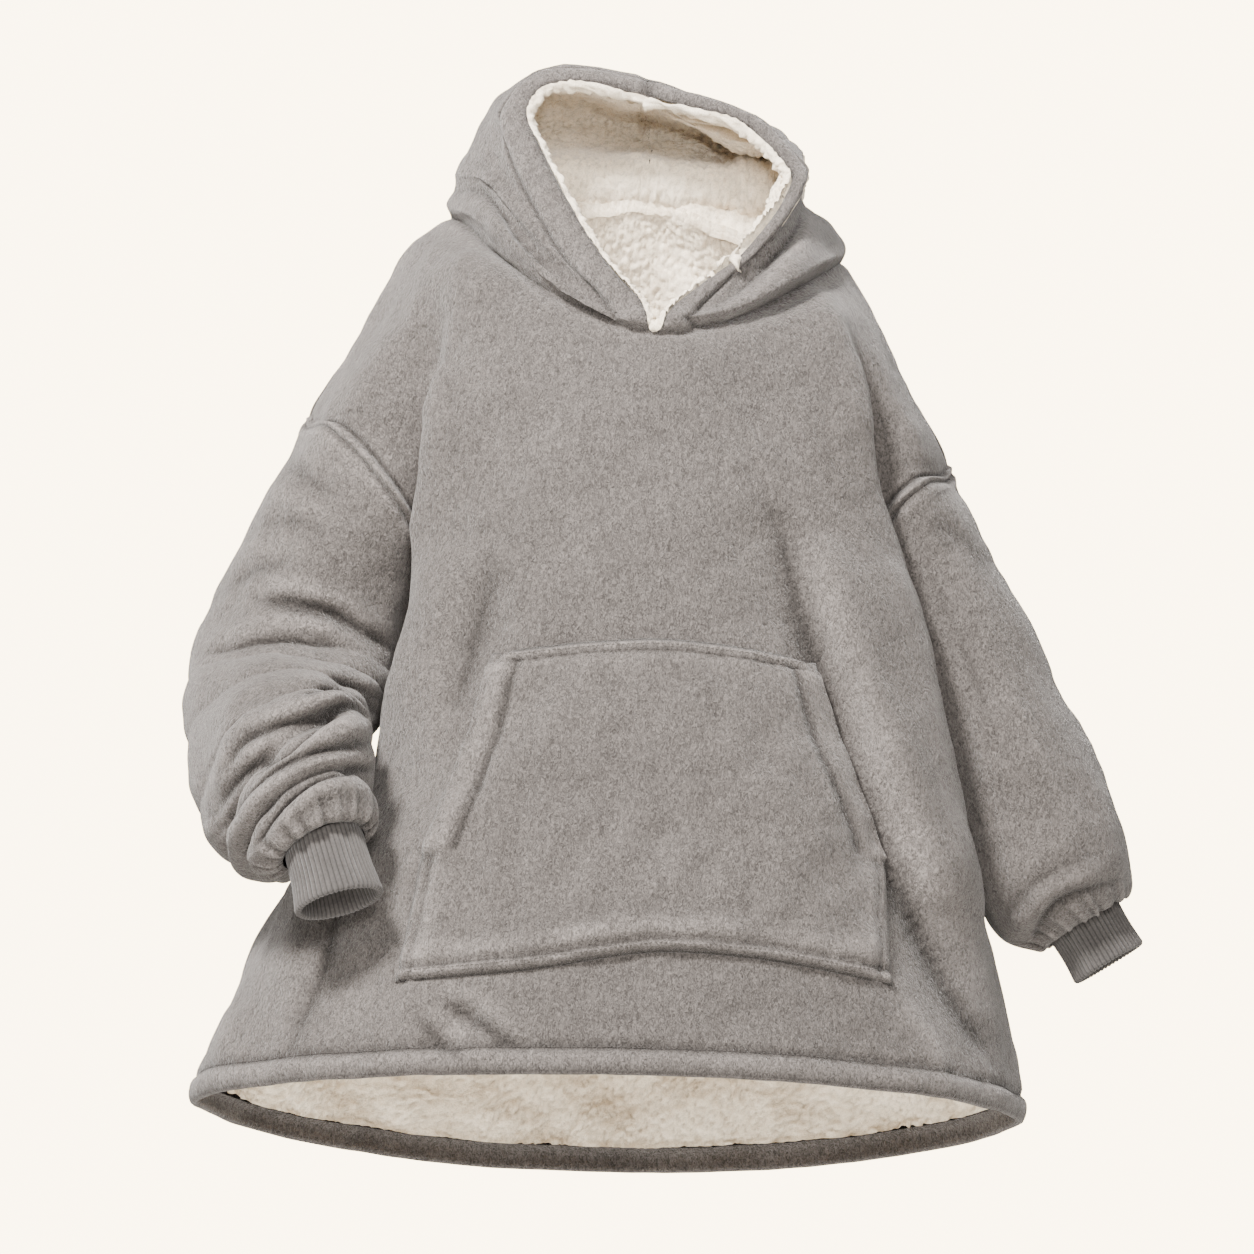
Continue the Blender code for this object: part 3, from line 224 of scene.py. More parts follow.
HOOD_RIGHT = (
    (0.07, (1.3, -13.8, -1.7), (3.5, -13.7, -1.6), (8.9, -12.6, -0.2),
     (15.6, -8.8, 4.3), (18.9, 1.5, 8.6), (14.2, 9.4, 12.6), (0.1, 11.4, 14.6)),
    (0.17, (2.4, -13.3, -0.1), (4.7, -12.9, -0.1), (9.9, -10.8, 3.4),
     (14.1, -6.0, 8.8), (15.9, 0.5, 12.6), (13.4, 8.2, 14.9), (0.0, 10.0, 16.2)),
    (0.32, (5.2, -12.0, 2.4), (7.2, -11.6, 2.5), (10.9, -9.5, 6.4),
     (13.6, -5.8, 10.4), (15.4, 0.0, 13.8), (13.7, 10.0, 17.6), (0.0, 12.4, 18.4)),
    (0.50, (9.0, -10.7, 5.6), (10.8, -10.2, 6.1), (13.3, -7.0, 10.8),
     (14.8, -3.5, 14.1), (15.2, 1.5, 16.8), (13.2, 11.2, 20.8), (0.0, 15.0, 20.4)),
    (0.66, (12.8, -8.8, 11.1), (14.5, -8.2, 11.8), (15.0, -5.5, 14.4),
     (15.0, -2.5, 16.5), (14.5, 2.0, 18.4), (11.8, 11.2, 22.8), (0.0, 15.2, 22.8)),
    (0.80, (13.1, -7.8, 14.7), (14.7, -6.8, 15.3), (14.5, -4.5, 16.8),
     (14.2, -2.0, 18.0), (13.0, 2.0, 19.6), (9.8, 10.2, 23.4), (0.0, 14.5, 24.8)),
    (0.91, (8.6, -6.8, 19.0), (9.7, -5.6, 20.1), (9.8, -3.8, 20.3),
     (9.4, -1.2, 20.8), (8.7, 2.2, 21.6), (6.4, 7.8, 24.0), (0.0, 12.5, 26.0)),
    (1.00, (-0.2, -6.0, 22.1), (-0.2, -4.8, 23.6), (-0.2, -3.0, 24.3),
     (-0.2, -0.5, 24.8), (-0.2, 2.5, 25.4), (-0.1, 6.0, 25.9), (0.0, 9.5, 26.2)),
)
HOOD_ROWS = 12

# Soft folds of the front and the back, a row for each: where it starts, bends
# and ends as seen from the front, its height (minus for a trough), and how far
# it reaches to its left and its right.
FOLDS = (
    ("front", (-25.5, -34.0), (-28.0, -47.0), (-28.0, -62.0), -3.2, 6.0, 5.5),
    ("front", (11.0, -18.0), (19.8, -43.0), (31.0, -68.0), -1.9, 6.0, 2.2),
    ("front", (15.5, -20.0), (23.5, -44.0), (33.0, -66.0), 0.5, 3.4, 4.2),
    ("front", (-15.5, -24.0), (-18.0, -38.0), (-21.5, -50.0), -0.8, 3.0, 3.0),
    ("front", (-24.0, -50.0), (-31.0, -62.0), (-36.0, -71.0), 0.7, 3.4, 4.0),
    ("front", (-15.0, -66.5), (-18.5, -69.5), (-22.0, -72.5), -0.6, 1.6, 1.6),
    ("back", (-13.0, -12.0), (-19.0, -40.0), (-27.0, -70.0), -1.5, 5.0, 2.6),
    ("back", (9.0, -16.0), (14.0, -42.0), (21.0, -71.0), -1.7, 2.6, 5.0),
    ("back", (-3.0, -30.0), (-4.0, -50.0), (-6.0, -73.0), 0.9, 4.0, 4.0),
)

# Kangaroo pocket, a row for each height from its foot: how far up its side
# it lies, and its left and right edge.
POCKET_SIDES = (
    (0.00, -23.3, 22.1),
    (0.36, -21.2, 21.7),
    (0.50, -19.3, 20.4),
    (0.75, -16.4, 17.2),
    (1.00, -14.6, 15.3),
)
POCKET_FOOT = ((-23.3, -64.6), (-11.0, -63.8), (0.0, -62.2), (11.0, -62.8), (22.1, -64.6))
POCKET_TOP = ((-14.6, -33.6), (0.0, -32.7), (15.3, -34.3))

# The hood's lining hangs in a fold behind the neck: how far forward and down,
# its place between neckline and crown, and how far up it reaches, as shares.
SHELF_PUSH = 5.2
SHELF_SAG = 0.7
SHELF_PLACE = 0.20
SHELF_REACH = 0.13

# Least distance in metres from a shell's face to its lining's, and the place
# among the panels' courses where their linings start above the hem
LINING_CLEAR = 0.0050
LINING_FOOT = 0.86

# From which depth of a crease the hood's lining lies back behind it, and how far
# back, in metres
CREASE_DEEP = 0.0008
CREASE_BACK = 0.016

# The least that a lining stays behind its shell, and how far ahead of a lining
# its shell is looked for, in metres
LINING_LEAST = 0.0028
SHELL_NEAR = 0.030

# How deep behind its shell a lining is put where it came out, and how far from
# its shell a hood's lining may lie near the rim, in metres
SEAT_DEPTH = 0.0022
LINING_MOST = 0.020

# How far the linings' neck edge lies back at the front, in metres, and the rows
# that tuck it in at the back: how far along and how deep
NECK_BACK = 0.007
NECK_TUCK = ((0.003, 0.002), (0.006, 0.005))

# Height in metres at which a raised or sunken fold counts in full in the painted
# highlight and painted shade of the plush's colour, and the rounds in which the
# cloth round it is evened out
PAINTED_SHADE_HEIGHT = 0.0024
PAINTED_SHADE_ROUNDS = 40

# How far the folded hood is drawn in behind its rim, in metres
HOOD_DRAW = 0.0035

# How far the free room inside a shell is measured, in metres
ROOM_MOST = 0.06

# Rounds in which a shell's normals are evened out
NORMAL_ROUNDS = 2
HOOD_NORMAL_ROUNDS = 3

# Steps of a torso section's half, of a course's curve and of a fold's path, the
# rounds that find a dent's depth, and the steps that turn an edge over
HALF_STEPS = 200
COURSE_STEPS = 400
PATH_STEPS = 60
DENT_ROUNDS = 12
TURN_STEPS = 8

# Share of a panel's width beside its seams over which its soft folds fade out
SIDE_FREE = 0.12

# Creases and ridges of each piece, by the side that they are seen from.  A row
# gives the height in millimetres, minus for a trough, the reach in centimetres,
# how many millimetres the cloth on the left of the run stands higher than that
# on its right, and the path in centimetres from the neck: across, or backwards
# in a view from the side, and up.
CREASES = {
    ("sleeve_left", "front"): (
        (-10.0, 0.8, 4.5, (-36.9, -25.3), (-33.2, -25.9), (-29.4, -27.1), (-24.2, -30.6)),
        (-10.0, 0.8, 3.6, (-42.8, -30.6), (-37.5, -29.4), (-33.2, -29.2), (-29.0, -29.9)),
        (-10.0, 0.8, 3.6, (-33.2, -34.6), (-29.4, -33.4), (-25.6, -35.1)),
        (-12.0, 0.8, 4.5, (-40.7, -42.0), (-38.0, -38.5), (-33.2, -36.9), (-27.6, -35.3)),
        (-16.0, 0.9, -5.8, (-41.6, -46.1), (-38.5, -42.3), (-34.2, -39.4), (-29.0, -35.9),
         (-25.5, -36.7)),
        (-14.0, 0.7, -4.5, (-40.3, -47.3), (-37.5, -43.2), (-32.3, -40.4), (-26.4, -39.3)),
        (-14.0, 0.7, -3.6, (-37.4, -48.9), (-35.1, -45.1), (-31.4, -42.3), (-26.4, -41.8)),
        (-14.0, 0.8, 3.6, (-34.8, -51.1), (-33.2, -49.4), (-30.4, -47.8), (-26.4, -47.1)),
        (-3.5, 1.2, 0.8, (-41.3, -25.6), (-38.0, -22.8), (-34.2, -21.9)),
        (-2.8, 1.4, 0.6, (-38.0, -19.0), (-34.2, -18.1), (-30.4, -19.5)),
        (-2.8, 1.2, 0.6, (-34.7, -11.9), (-32.3, -14.2), (-29.0, -16.1)),
    ),
    ("sleeve_left", "back"): (
        (-10.0, 1.0, 4.5, (-41.0, -27.0), (-34.0, -29.5), (-27.0, -33.5)),
        (-10.0, 1.0, 4.5, (-43.0, -34.0), (-36.0, -34.5), (-29.0, -36.5)),
        (-12.0, 0.9, -4.5, (-43.0, -41.5), (-37.0, -40.5), (-30.0, -39.5)),
        (-4.2, 1.4, 1.0, (-40.0, -18.0), (-34.0, -20.5), (-29.0, -25.0)),
    ),
    ("sleeve_right", "front"): (
        (-8.0, 1.0, 2.4, (36.1, -58.5), (39.0, -54.3), (44.6, -52.2)),
        (-3.5, 1.4, 1.0, (33.2, -56.5), (37.0, -52.2), (42.8, -49.4)),
        (-3.4, 1.6, 1.0, (26.1, -21.9), (29.9, -30.4), (33.2, -39.4)),
        (2.5, 1.8, 0.0, (31.8, -29.4), (36.1, -38.5), (39.9, -46.5)),
        (-3.1, 1.2, 0.6, (26.6, -18.1), (29.9, -19.9), (32.8, -23.8)),
    ),
    ("sleeve_right", "back"): (
        (-8.0, 1.1, -3.0, (26.0, -33.0), (32.0, -29.0), (37.0, -27.5)),
        (-8.0, 1.1, -3.0, (29.0, -41.0), (35.0, -37.0), (41.0, -36.0)),
        (-8.0, 1.0, -3.0, (33.0, -50.0), (39.0, -46.0), (45.0, -45.5)),
    ),
    ("hood_left", "front"): (
        (-7.0, 0.6, 3.0, (-19.3, 13.3), (-16.6, 13.5), (-15.2, 12.6), (-13.8, 11.2), (-12.3, 9.3),
         (-10.4, 7.1), (-8.6, 5.2), (-4.8, 0.9)),
        (-2.0, 0.9, -1.0, (-18.5, 11.9), (-16.1, 10.9), (-13.8, 8.7), (-10.9, 5.9)),
        (-2.0, 0.8, 0.8, (-17.9, 17.1), (-16.1, 15.7), (-14.2, 13.3)),
    ),
    ("hood_right", "front"): (
        (-6.0, 0.6, 2.4, (15.3, 12.3), (14.2, 10.0), (12.8, 8.1), (10.4, 5.7), (6.3, 2.7)),
        (-2.4, 0.9, 1.0, (17.9, 8.9), (15.7, 6.5), (12.8, 4.8)),
    ),
    ("hood_left", "side"): (
        (-4.0, 1.4, 1.0, (6.0, 22.0), (3.0, 18.0), (2.0, 13.0)),
        (-4.0, 1.2, 2.0, (11.0, 19.0), (6.0, 16.5), (0.0, 15.5)),
    ),
    ("hood_right", "side"): (
        (-4.0, 1.4, 1.0, (6.0, 20.0), (3.0, 16.0), (2.0, 11.0)),
        (-4.0, 1.2, 2.0, (11.0, 18.0), (6.0, 14.5), (0.0, 12.0)),
    ),
    ("front_panel", "front"): (
        (-14.0, 2.1, 5.0, (11.9, -17.6), (16.3, -33.2), (21.7, -48.5), (29.0, -63.6),
         (32.8, -69.3)),
        (-5.5, 2.6, -2.4, (-14.7, -20.4), (-16.9, -29.4), (-18.8, -37.0)),
        (-6.1, 0.7, 1.6, (-19.9, -63.6), (-16.6, -65.4), (-12.3, -68.2)),
        (-4.1, 0.8, 1.6, (-22.3, -64.6), (-19.9, -67.5), (-17.1, -69.5)),
        (-6.9, 1.9, -2.0, (-29.0, -52.2), (-31.4, -60.8), (-34.7, -69.3)),
        (4.1, 1.5, 0.0, (-38.0, -57.5), (-39.4, -63.6), (-40.7, -69.3)),
        (4.5, 1.6, 0.0, (24.2, -63.6), (26.6, -67.5), (28.0, -70.8)),
        (-1.6, 2.0, -0.8, (-20.9, 0.9), (-19.0, -6.7), (-18.5, -14.2)),
        (-1.6, 2.0, 0.8, (17.6, 0.0), (16.6, -8.6), (17.6, -16.1)),
        (-1.0, 1.6, 0.3, (-8.6, -2.9), (-4.8, -5.2), (0.0, -5.9), (4.8, -5.1)),
        (-1.2, 2.0, 0.4, (4.8, -21.9), (8.1, -25.6), (13.3, -27.6)),
    ),
    ("back_panel", "back"): (
        (-10.1, 1.7, -3.1, (-14.0, -4.0), (-20.0, -22.0), (-25.0, -44.0)),
        (-10.1, 1.7, 3.1, (12.0, -8.0), (18.0, -28.0), (25.0, -52.0)),
        (-3.0, 1.8, 1.5, (-9.0, 6.0), (0.0, 3.0), (9.0, 5.0)),
        (-1.5, 2.0, 0.8, (-7.0, 0.0), (1.0, -2.4), (8.0, -1.0)),
        (8.1, 2.2, 0.0, (-20.0, -48.0), (-24.0, -62.0), (-28.0, -76.0)),
        (-10.1, 2.2, 2.0, (2.0, -40.0), (4.0, -58.0), (6.0, -78.0)),
        (8.1, 2.2, 0.0, (17.0, -50.0), (21.0, -63.0), (25.0, -76.0)),
    ),
    ("hood_left_lining", "front"): (
        (-2.0, 0.5, 0.0, (4.8, 19.5), (0.0, 20.1), (-4.8, 21.3), (-11.2, 21.8)),
        (-4.0, 1.0, 0.0, (-5.7, 13.3), (-4.8, 10.9), (-2.4, 8.1)),
    ),
    ("hood_right_lining", "front"): (
        (6.0, 0.8, 3.0, (8.9, 14.6), (8.8, 12.0), (7.7, 8.6), (5.9, 5.7)),
        (-4.0, 0.9, 0.0, (10.9, 13.8), (10.6, 11.4), (9.0, 8.6)),
    ),
}

# Lines of stitching on the hem and the pocket, from the edge
HEM_FACING = 2.3
POCKET_TOP_HEM = 1.0
POCKET_SIDE_HEM = 2.7
POCKET_FOOT_HEM = 1.1

# Shares of the pocket's height between which its slanted sides are open
POCKET_OPEN = (0.36, 0.99)

# How far in metres a seam's groove reaches into the cloth, and a stitch line's,
# and the armhole band's reach, its outer groove's place and that groove's reach
SEAM_REACH = 0.0045
STITCH_REACH = 0.0036
BAND_REACH = 0.0036
BAND_END = 0.012
BAND_GROOVE = 0.003

# How far the cloth is raised beside a sleeve's seam, as a share of the groove
SLEEVE_BESIDE = 0.6

# Puckers of a sewn line and of a sleeve's gathered end, in metres
PUCKER_HEIGHT = 0.0004
PUCKER_REACH = 0.007
GATHER_HEIGHT = 0.0019
GATHER_REACH = 0.03

# Tufts: how far their places are warped, the share of a tuft that a curl on it
# has, and the whole numbers that scatter their centres
TUFT_WARP = 0.0016
CURL_SHARE = 0.42
CELL_PRIMES = (73856093, 19349663, 83492791)
SEED_PRIME = 7919
SCATTER_FACTOR = 1103515245
SCATTER_STEP = 12345

# Soft unevenness: how many waves make it up, and what brings them to about one
WAVES = 14
WAVE_LEVEL = 2.6

# The pile's mesh: rows and columns on a hood half, columns on the back and the
# front, and the steps in metres between their rows, from the hem to the neck
HOOD_PILE = (190, 330)
BACK_PILE_COLUMNS = 330
FRONT_PILE_COLUMNS = 190
BACK_PILE_STEPS = (0.0026, 0.003, 0.008, 0.007, 0.003, 0.0026)
FRONT_PILE_STEPS = (0.004, 0.005, 0.009, 0.009, 0.006, 0.005)

# The hood's pile is taller by its rim and by its centre seam, in metres, and its
# seam is drawn in.  Its columns up to this share of the width are by the rim.
RIM_PILE = 0.0016
SEAM_PILE = 0.0024
RIM_SIDE = 0.38

# Degrees from which and to which the hood lining's pile rolls round its bead,
# and the step
BEAD_TURNS = (-20.0, 170.0, 15.0)

# How far in and over which height, in centimetres, a slanted pocket side runs
POCKET_SLANT = (4.5, 20.0)

# The bead at a cuff's end and the rounding of the pocket's edge, in metres, how
# far a cuff reaches into its sleeve, and how far its middle is drawn in
CUFF_BEAD = 0.0022
POCKET_EDGE = 0.0016
CUFF_INSIDE = 0.012
CUFF_WAIST = 0.035

# Each sheet's flat size as cut, width and length in metres, and its area
LINING_CUTS = {
    "front_panel": ((0.90, 0.80), 0.62),
    "back_panel": ((0.92, 0.84), 0.66),
    "hood_left": ((0.44, 0.36), 0.115),
    "hood_right": ((0.44, 0.36), 0.115),
}

# Camera, as the photograph was taken, and the neck's place in its view
CAMERA_TARGET = (-0.02185, 0.0, -0.2865)
CAMERA_TILT = 10.0
CAMERA_DISTANCE = 7.0
CAMERA_WIDTH = 1.1913
SENSOR = 36.0
NECK_SEEN = (-2.185, -28.215)

# Stage: the floor's height and reach, the lights with place, size, power and colour
FLOOR_HEIGHT = -2.2
FLOOR_REACH = 20.0
LIGHT_TARGET = (0.0, 0.0, -0.3)
LIGHTS = (
    ("key", (-1.6, -3.0, 2.7), 0.9, 820.0, (1.0, 0.985, 0.96)),
    ("front", (0.3, -5.2, 0.6), 1.6, 260.0, (1.0, 0.99, 0.97)),
    ("rim", (1.8, 2.4, 1.8), 1.8, 90.0, (1.0, 0.99, 0.98)),
    ("far rim", (-2.4, 1.8, 0.6), 1.8, 80.0, (1.0, 0.99, 0.98)),
)
HOOD_LIGHT_PLACE = (0.1, -5.0, -0.55)
HOOD_LIGHT_TARGET = (0.0, 0.0, 0.15)
HOOD_LIGHT_POWER = 2600.0
HOOD_LIGHT_ANGLE = 2.8
HOOD_LIGHT_BLEND = 0.7
HOOD_LIGHT_SIZE = 0.3
BACKDROP_STRENGTH = 10.0
FILL_COLOUR = (1.0, 0.985, 0.96)
FILL_STRENGTH = 0.32


def spline(knots, values, at):
    """Smooth curve through values at knots, by cubic pieces, read at places."""
    knots = np.asarray(knots, float)
    values = np.asarray(values, float)
    at = np.clip(np.asarray(at, float), knots[0], knots[-1])
    steps = np.diff(knots)
    extra = (1,) * (values.ndim - 1)
    slopes = np.diff(values, axis=0) / steps.reshape(-1, *extra)
    tangents = np.empty_like(values)
    tangents[0] = slopes[0]
    tangents[-1] = slopes[-1]
    before = steps[:-1].reshape(-1, *extra)
    after = steps[1:].reshape(-1, *extra)
    tangents[1:-1] = (slopes[:-1] * after + slopes[1:] * before) / (before + after)
    index = np.clip(np.searchsorted(knots, at, side="right") - 1, 0, len(steps) - 1)
    span = steps[index].reshape(-1, *extra)
    t = ((at - knots[index]) / steps[index]).reshape(-1, *extra)
    return (
        values[index] * (2 * t**3 - 3 * t**2 + 1)
        + tangents[index] * span * (t**3 - 2 * t**2 + t)
        + values[index + 1] * (3 * t**2 - 2 * t**3)
        + tangents[index + 1] * span * (t**3 - t**2)
    )


def lengths(curve):
    """Distance along a curve from its first point to each point."""
    steps = np.linalg.norm(np.diff(curve, axis=0), axis=1)
    return np.concatenate(([0.0], np.cumsum(steps)))


def read_along(values, along, at):
    """Values kept along a line, read at other distances."""
    return np.stack([np.interp(at, along, values[:, k]) for k in range(3)], axis=1)


def spread(curve, marks, spans):
    """Points along a dense curve, evenly parted between its marked points."""
    places = [0.0]
    for first, last, count in zip(marks[:-1], marks[1:], spans):
        places.extend(np.linspace(first, last, count + 1)[1:])
    return read_along(curve, lengths(curve), places)


def course(stations, spans):
    """A course through given stations, as evenly parted points."""
    stations = np.asarray(stations, float)
    chords = np.linalg.norm(np.diff(stations, axis=0), axis=1)
    knots = np.concatenate(([0.0], np.cumsum(np.sqrt(chords))))
    fine = np.linspace(0.0, knots[-1], COURSE_STEPS)
    curve = spline(knots, stations, fine)
    along = lengths(curve)
    marks = np.interp(knots, fine, along)
    return spread(curve, marks, spans)


def dented_width(unit, reach, dent):
    """Half section widths of 1 at most, pushed in by dent where reach is 1."""
    push = dent
    for _ in range(DENT_ROUNDS):
        widest = np.max(unit * (1.0 - push * reach))
        push = 1.0 - (1.0 - dent) * widest
    return unit * (1.0 - push * reach) / widest


def torso_half(row, front, spans):
    """Half a torso section, from the left side seam over the middle."""
    part = dict(zip(TORSO_COLUMNS, row))
    turn = np.linspace(0.0, math.pi, 2 * HALF_STEPS + 1)
    across = -np.cos(turn)
    unit = np.abs(across) ** SQUARENESS
    outward = np.sin(turn) ** SQUARENESS
    side = (SIDE_DEPTH_LEFT + SIDE_DEPTH_RIGHT) / 2
    side = side + across * (SIDE_DEPTH_RIGHT - SIDE_DEPTH_LEFT) / 2
    depth = -part["front"] if front else part["back"]
    y = side + (depth - side) * outward
    reach = np.exp(-((np.abs(y - side) / DENT_REACH) ** DENT_ROUND))
    centre = (part["left"] + part["right"]) / 2
    half = (part["right"] - part["left"]) / 2
    left = dented_width(unit, reach, part["dent_left"] / half)
    right = dented_width(unit, reach, part["dent_right"] / half)
    x = centre + half * np.where(across < 0, -left, right)
    share = (x - part["left"]) / (2 * half)
    z = part["z_left"] + (part["z_right"] - part["z_left"]) * share
    z = z + (part["lift"] if front else -part["drop"]) * outward**2
    curve = np.stack([x, y, z], axis=1)
    along = lengths(curve)
    middle = along[HALF_STEPS]
    whole = along[-1]
    marks = [0.0]
    shares = (part["edge"] / 3, part["edge"] * 2 / 3, part["edge"])
    marks += [middle * s for s in shares]
    marks += [middle * (1 + part["edge"]) / 2, middle]
    rest = whole - middle
    marks += [whole - rest * (1 + part["edge"]) / 2]
    marks += [whole - rest * s for s in reversed(shares)]
    marks += [whole]
    return spread(curve, marks, spans + spans[::-1])


def panel_courses(front):
    """All courses of the front or the back, hem to neckline, in metres."""
    spans = finer(FRONT_SPANS if front else BACK_SPANS)
    courses = [torso_half(row, front, spans) for row in TORSO]
    for (_, *stations), (_, *depths, rise) in zip(FRONT_COURSES, BACK_COURSES):
        stations = np.array(stations, float)
        if not front:
            stations[:, 1] = depths
            stations[:, 2] += rise * np.array(BACK_RISE_SHARE)
        courses.append(course(stations, spans + spans[::-1]))
    return np.array(courses) * CM


UNDERARM = len(TORSO) - 1
ARMHOLE_TOP = UNDERARM + 4
NECKLINE = len(TORSO) + len(FRONT_COURSES) - 1
ROWS_BETWEEN = ((0, 1, 1), (1, UNDERARM, 9), (UNDERARM, ARMHOLE_TOP, 8), (ARMHOLE_TOP, NECKLINE, 4))


def panel_places():
    """Places of the mesh rows among the courses."""
    places = [0.0]
    for first, last, count in ROWS_BETWEEN:
        places.extend(np.linspace(first, last, count * DETAIL + 1)[1:])
    return np.array(places)


def make_panel(front):
    """Outer points of the front or the back, rows by columns."""
    courses = panel_courses(front)
    points = spline(np.arange(len(courses)), courses, panel_places())
    press_folds(points, "front" if front else "back")
    return points


def beside(path, places):
    """The nearest step of a path to each place, how far off it is, and on which side.

    The side is above nought on the left of the path's run.
    """
    offset = places[:, None, :] - path
    nearest = np.argmin(np.sum(offset**2, axis=2), axis=1)
    gap = offset[np.arange(len(places)), nearest]
    way = np.gradient(path, axis=0)[nearest]
    side = way[:, 0] * gap[:, 1] - way[:, 1] * gap[:, 0]
    return nearest, np.linalg.norm(gap, axis=1), side


def press_folds(points, panel):
    """Move a panel's points in and out along its soft folds."""
    outward = -1.0 if panel == "front" else 1.0
    columns = np.linspace(0.0, 1.0, points.shape[1])
    free = np.clip(np.minimum(columns, 1.0 - columns) / SIDE_FREE, 0.0, 1.0)
    for owner, *bends, height, reach_left, reach_right in FOLDS:
        if owner != panel:
            continue
        path = spline((0.0, 0.5, 1.0), np.array(bends) * CM, np.linspace(0.0, 1.0, PATH_STEPS))
        nearest, distance, side = beside(path, points[:, :, (0, 2)].reshape(-1, 2))
        reach = np.where(side < 0, reach_left, reach_right) * CM
        ends = np.sin(math.pi * np.clip(nearest / (PATH_STEPS - 1), 0.03, 0.97)) ** 0.6
        weight = (np.exp(-((distance / reach) ** 2)) * ends).reshape(points.shape[:2]) * free
        points[:, :, 1] += outward * height * CM * weight


def meet_at_sides(front, back):
    """Bring the two panels' side and shoulder seams together."""
    places = panel_places()
    sewn = (places <= UNDERARM + 1e-6) | (places >= ARMHOLE_TOP - 1e-6)
    for column in (0, -1):
        middle = (front[sewn, column] + back[sewn, column]) / 2
        for panel in (front, back):
            panel[sewn, column] = middle


def grid_normals(points, wrap=False):
    """Unit normals of a grid of points, along columns cross along rows."""
    if wrap:
        along = np.roll(points, -1, axis=1) - np.roll(points, 1, axis=1)
    else:
        along = np.gradient(points, axis=1)
    up = np.gradient(points, axis=0)
    normal = np.cross(along, up)
    size = np.linalg.norm(normal, axis=2, keepdims=True)
    return normal / np.maximum(size, 1e-12)


def smoothed(normals, rounds, wrap=False):
    """Unit normals evened out with their neighbours' along rows and columns."""
    for _ in range(rounds):
        padded = np.pad(normals, ((1, 1), (0, 0), (0, 0)), mode="edge")
        normals = padded[:-2] + padded[2:] + 2 * normals
        padded = np.pad(normals, ((0, 0), (1, 1), (0, 0)), mode="wrap" if wrap else "edge")
        normals = padded[:, :-2] + padded[:, 2:] + 2 * normals
        normals = normals / np.linalg.norm(normals, axis=2, keepdims=True)
    return normals


def ring_section(row, turns):
    """Points of a sleeve section at the given turns, outer point first."""
    part = dict(zip(SLEEVE_COLUMNS, row))
    outer = np.array([part["x_outer"], part["y"], part["z_outer"]])
    inner = np.array([part["x_inner"], part["y"], part["z_inner"]])
    middle = (outer + inner) / 2
    across = (outer - inner) / 2
    depth = part["half_depth"]
    forward = np.array([0.0, -depth, part["tip"]])
    cosine = np.cos(turns)[:, None]
    sine = np.sin(turns)[:, None]
    return (middle + across * cosine + forward * sine) * CM


def armhole_loop(front, back, column):
    """Closed loop of armhole points, from its top down the front and back up."""
    places = panel_places()
    rows = np.where((places >= UNDERARM - 1e-6) & (places <= ARMHOLE_TOP + 1e-6))[0]
    down = front[rows, column][::-1]
    up = back[rows, column]
    return np.concatenate((down, up[1:-1]))


def loop_turns(loop, half):
    """Turn of each loop point, spread by length over the front and the back."""
    closed = np.vstack((loop, loop[:1]))
    along = lengths(closed)
    middle = along[half]
    turns = np.where(
        along <= middle,
        along / middle * math.pi,
        math.pi + (along - middle) / (along[-1] - middle) * math.pi,
    )
    return turns[:-1]


def make_sleeve(loop, table):
    """Outer points of a sleeve, from the armhole loop to its gathered end."""
    turns = loop_turns(loop, len(loop) // 2)
    sections = [loop] + [ring_section(row, turns) for row in table]
    sections = np.array(sections)
    swells = [0.0] + [row[-1] for row in table]
    places = []
    lift = []
    for index, swell in enumerate(swells[:-1]):
        count = SLEEVE_DETAIL * (ROLL_ROWS if swell > 0.2 else PLAIN_ROWS)
        steps = np.arange(count) / count
        places.extend(index + steps)
        lift.extend(swell * CM * np.sin(math.pi * steps) ** 0.75)
    places.append(len(swells) - 1)
    lift.append(0.0)
    points = spline(np.arange(len(sections)), sections, places)
    middle = points.mean(axis=1, keepdims=True)
    away = points - middle
    away = away / np.linalg.norm(away, axis=2, keepdims=True)
    return points + away * np.array(lift)[:, None, None]


def make_hood_half(table, front, back, mirrored):
    """Outer points of a hood half, neckline to crown seam."""
    middle_front = sum(FRONT_SPANS) * DETAIL
    middle_back = sum(BACK_SPANS) * DETAIL
    if mirrored:
        bottom = np.concatenate((front[-1, middle_front:], back[-1, middle_back:-1][::-1]))
    else:
        bottom = np.concatenate((front[-1, middle_front::-1], back[-1, 1:middle_back + 1]))
    shares = [0.0]
    courses = [bottom]
    for share, *stations in table:
        shares.append(share)
        courses.append(course(stations, finer(HOOD_SPANS)) * CM)
    places = np.linspace(0.0, 1.0, HOOD_ROWS * DETAIL + 1)
    return spline(shares, np.array(courses), places)


def facing_out(name, points, wrap):
    """Normals of a shell's grid, pointing away from the wearer."""
    normals = grid_normals(points, wrap)
    core = points.mean(axis=1, keepdims=True) if wrap else points.mean(axis=(0, 1))
    if name == "front_panel":
        core = core + np.array([0.0, 1.0, 0.0])
    if name == "back_panel":
        core = core - np.array([0.0, 1.0, 0.0])
    if name.startswith("hood"):
        core = np.array([0.0, 0.0, 0.1])
    if np.einsum("ijk,ijk->", points - core, normals) < 0:
        normals = -normals
    rounds = HOOD_NORMAL_ROUNDS if name.startswith("hood") else NORMAL_ROUNDS
    return smoothed(normals, rounds, wrap)


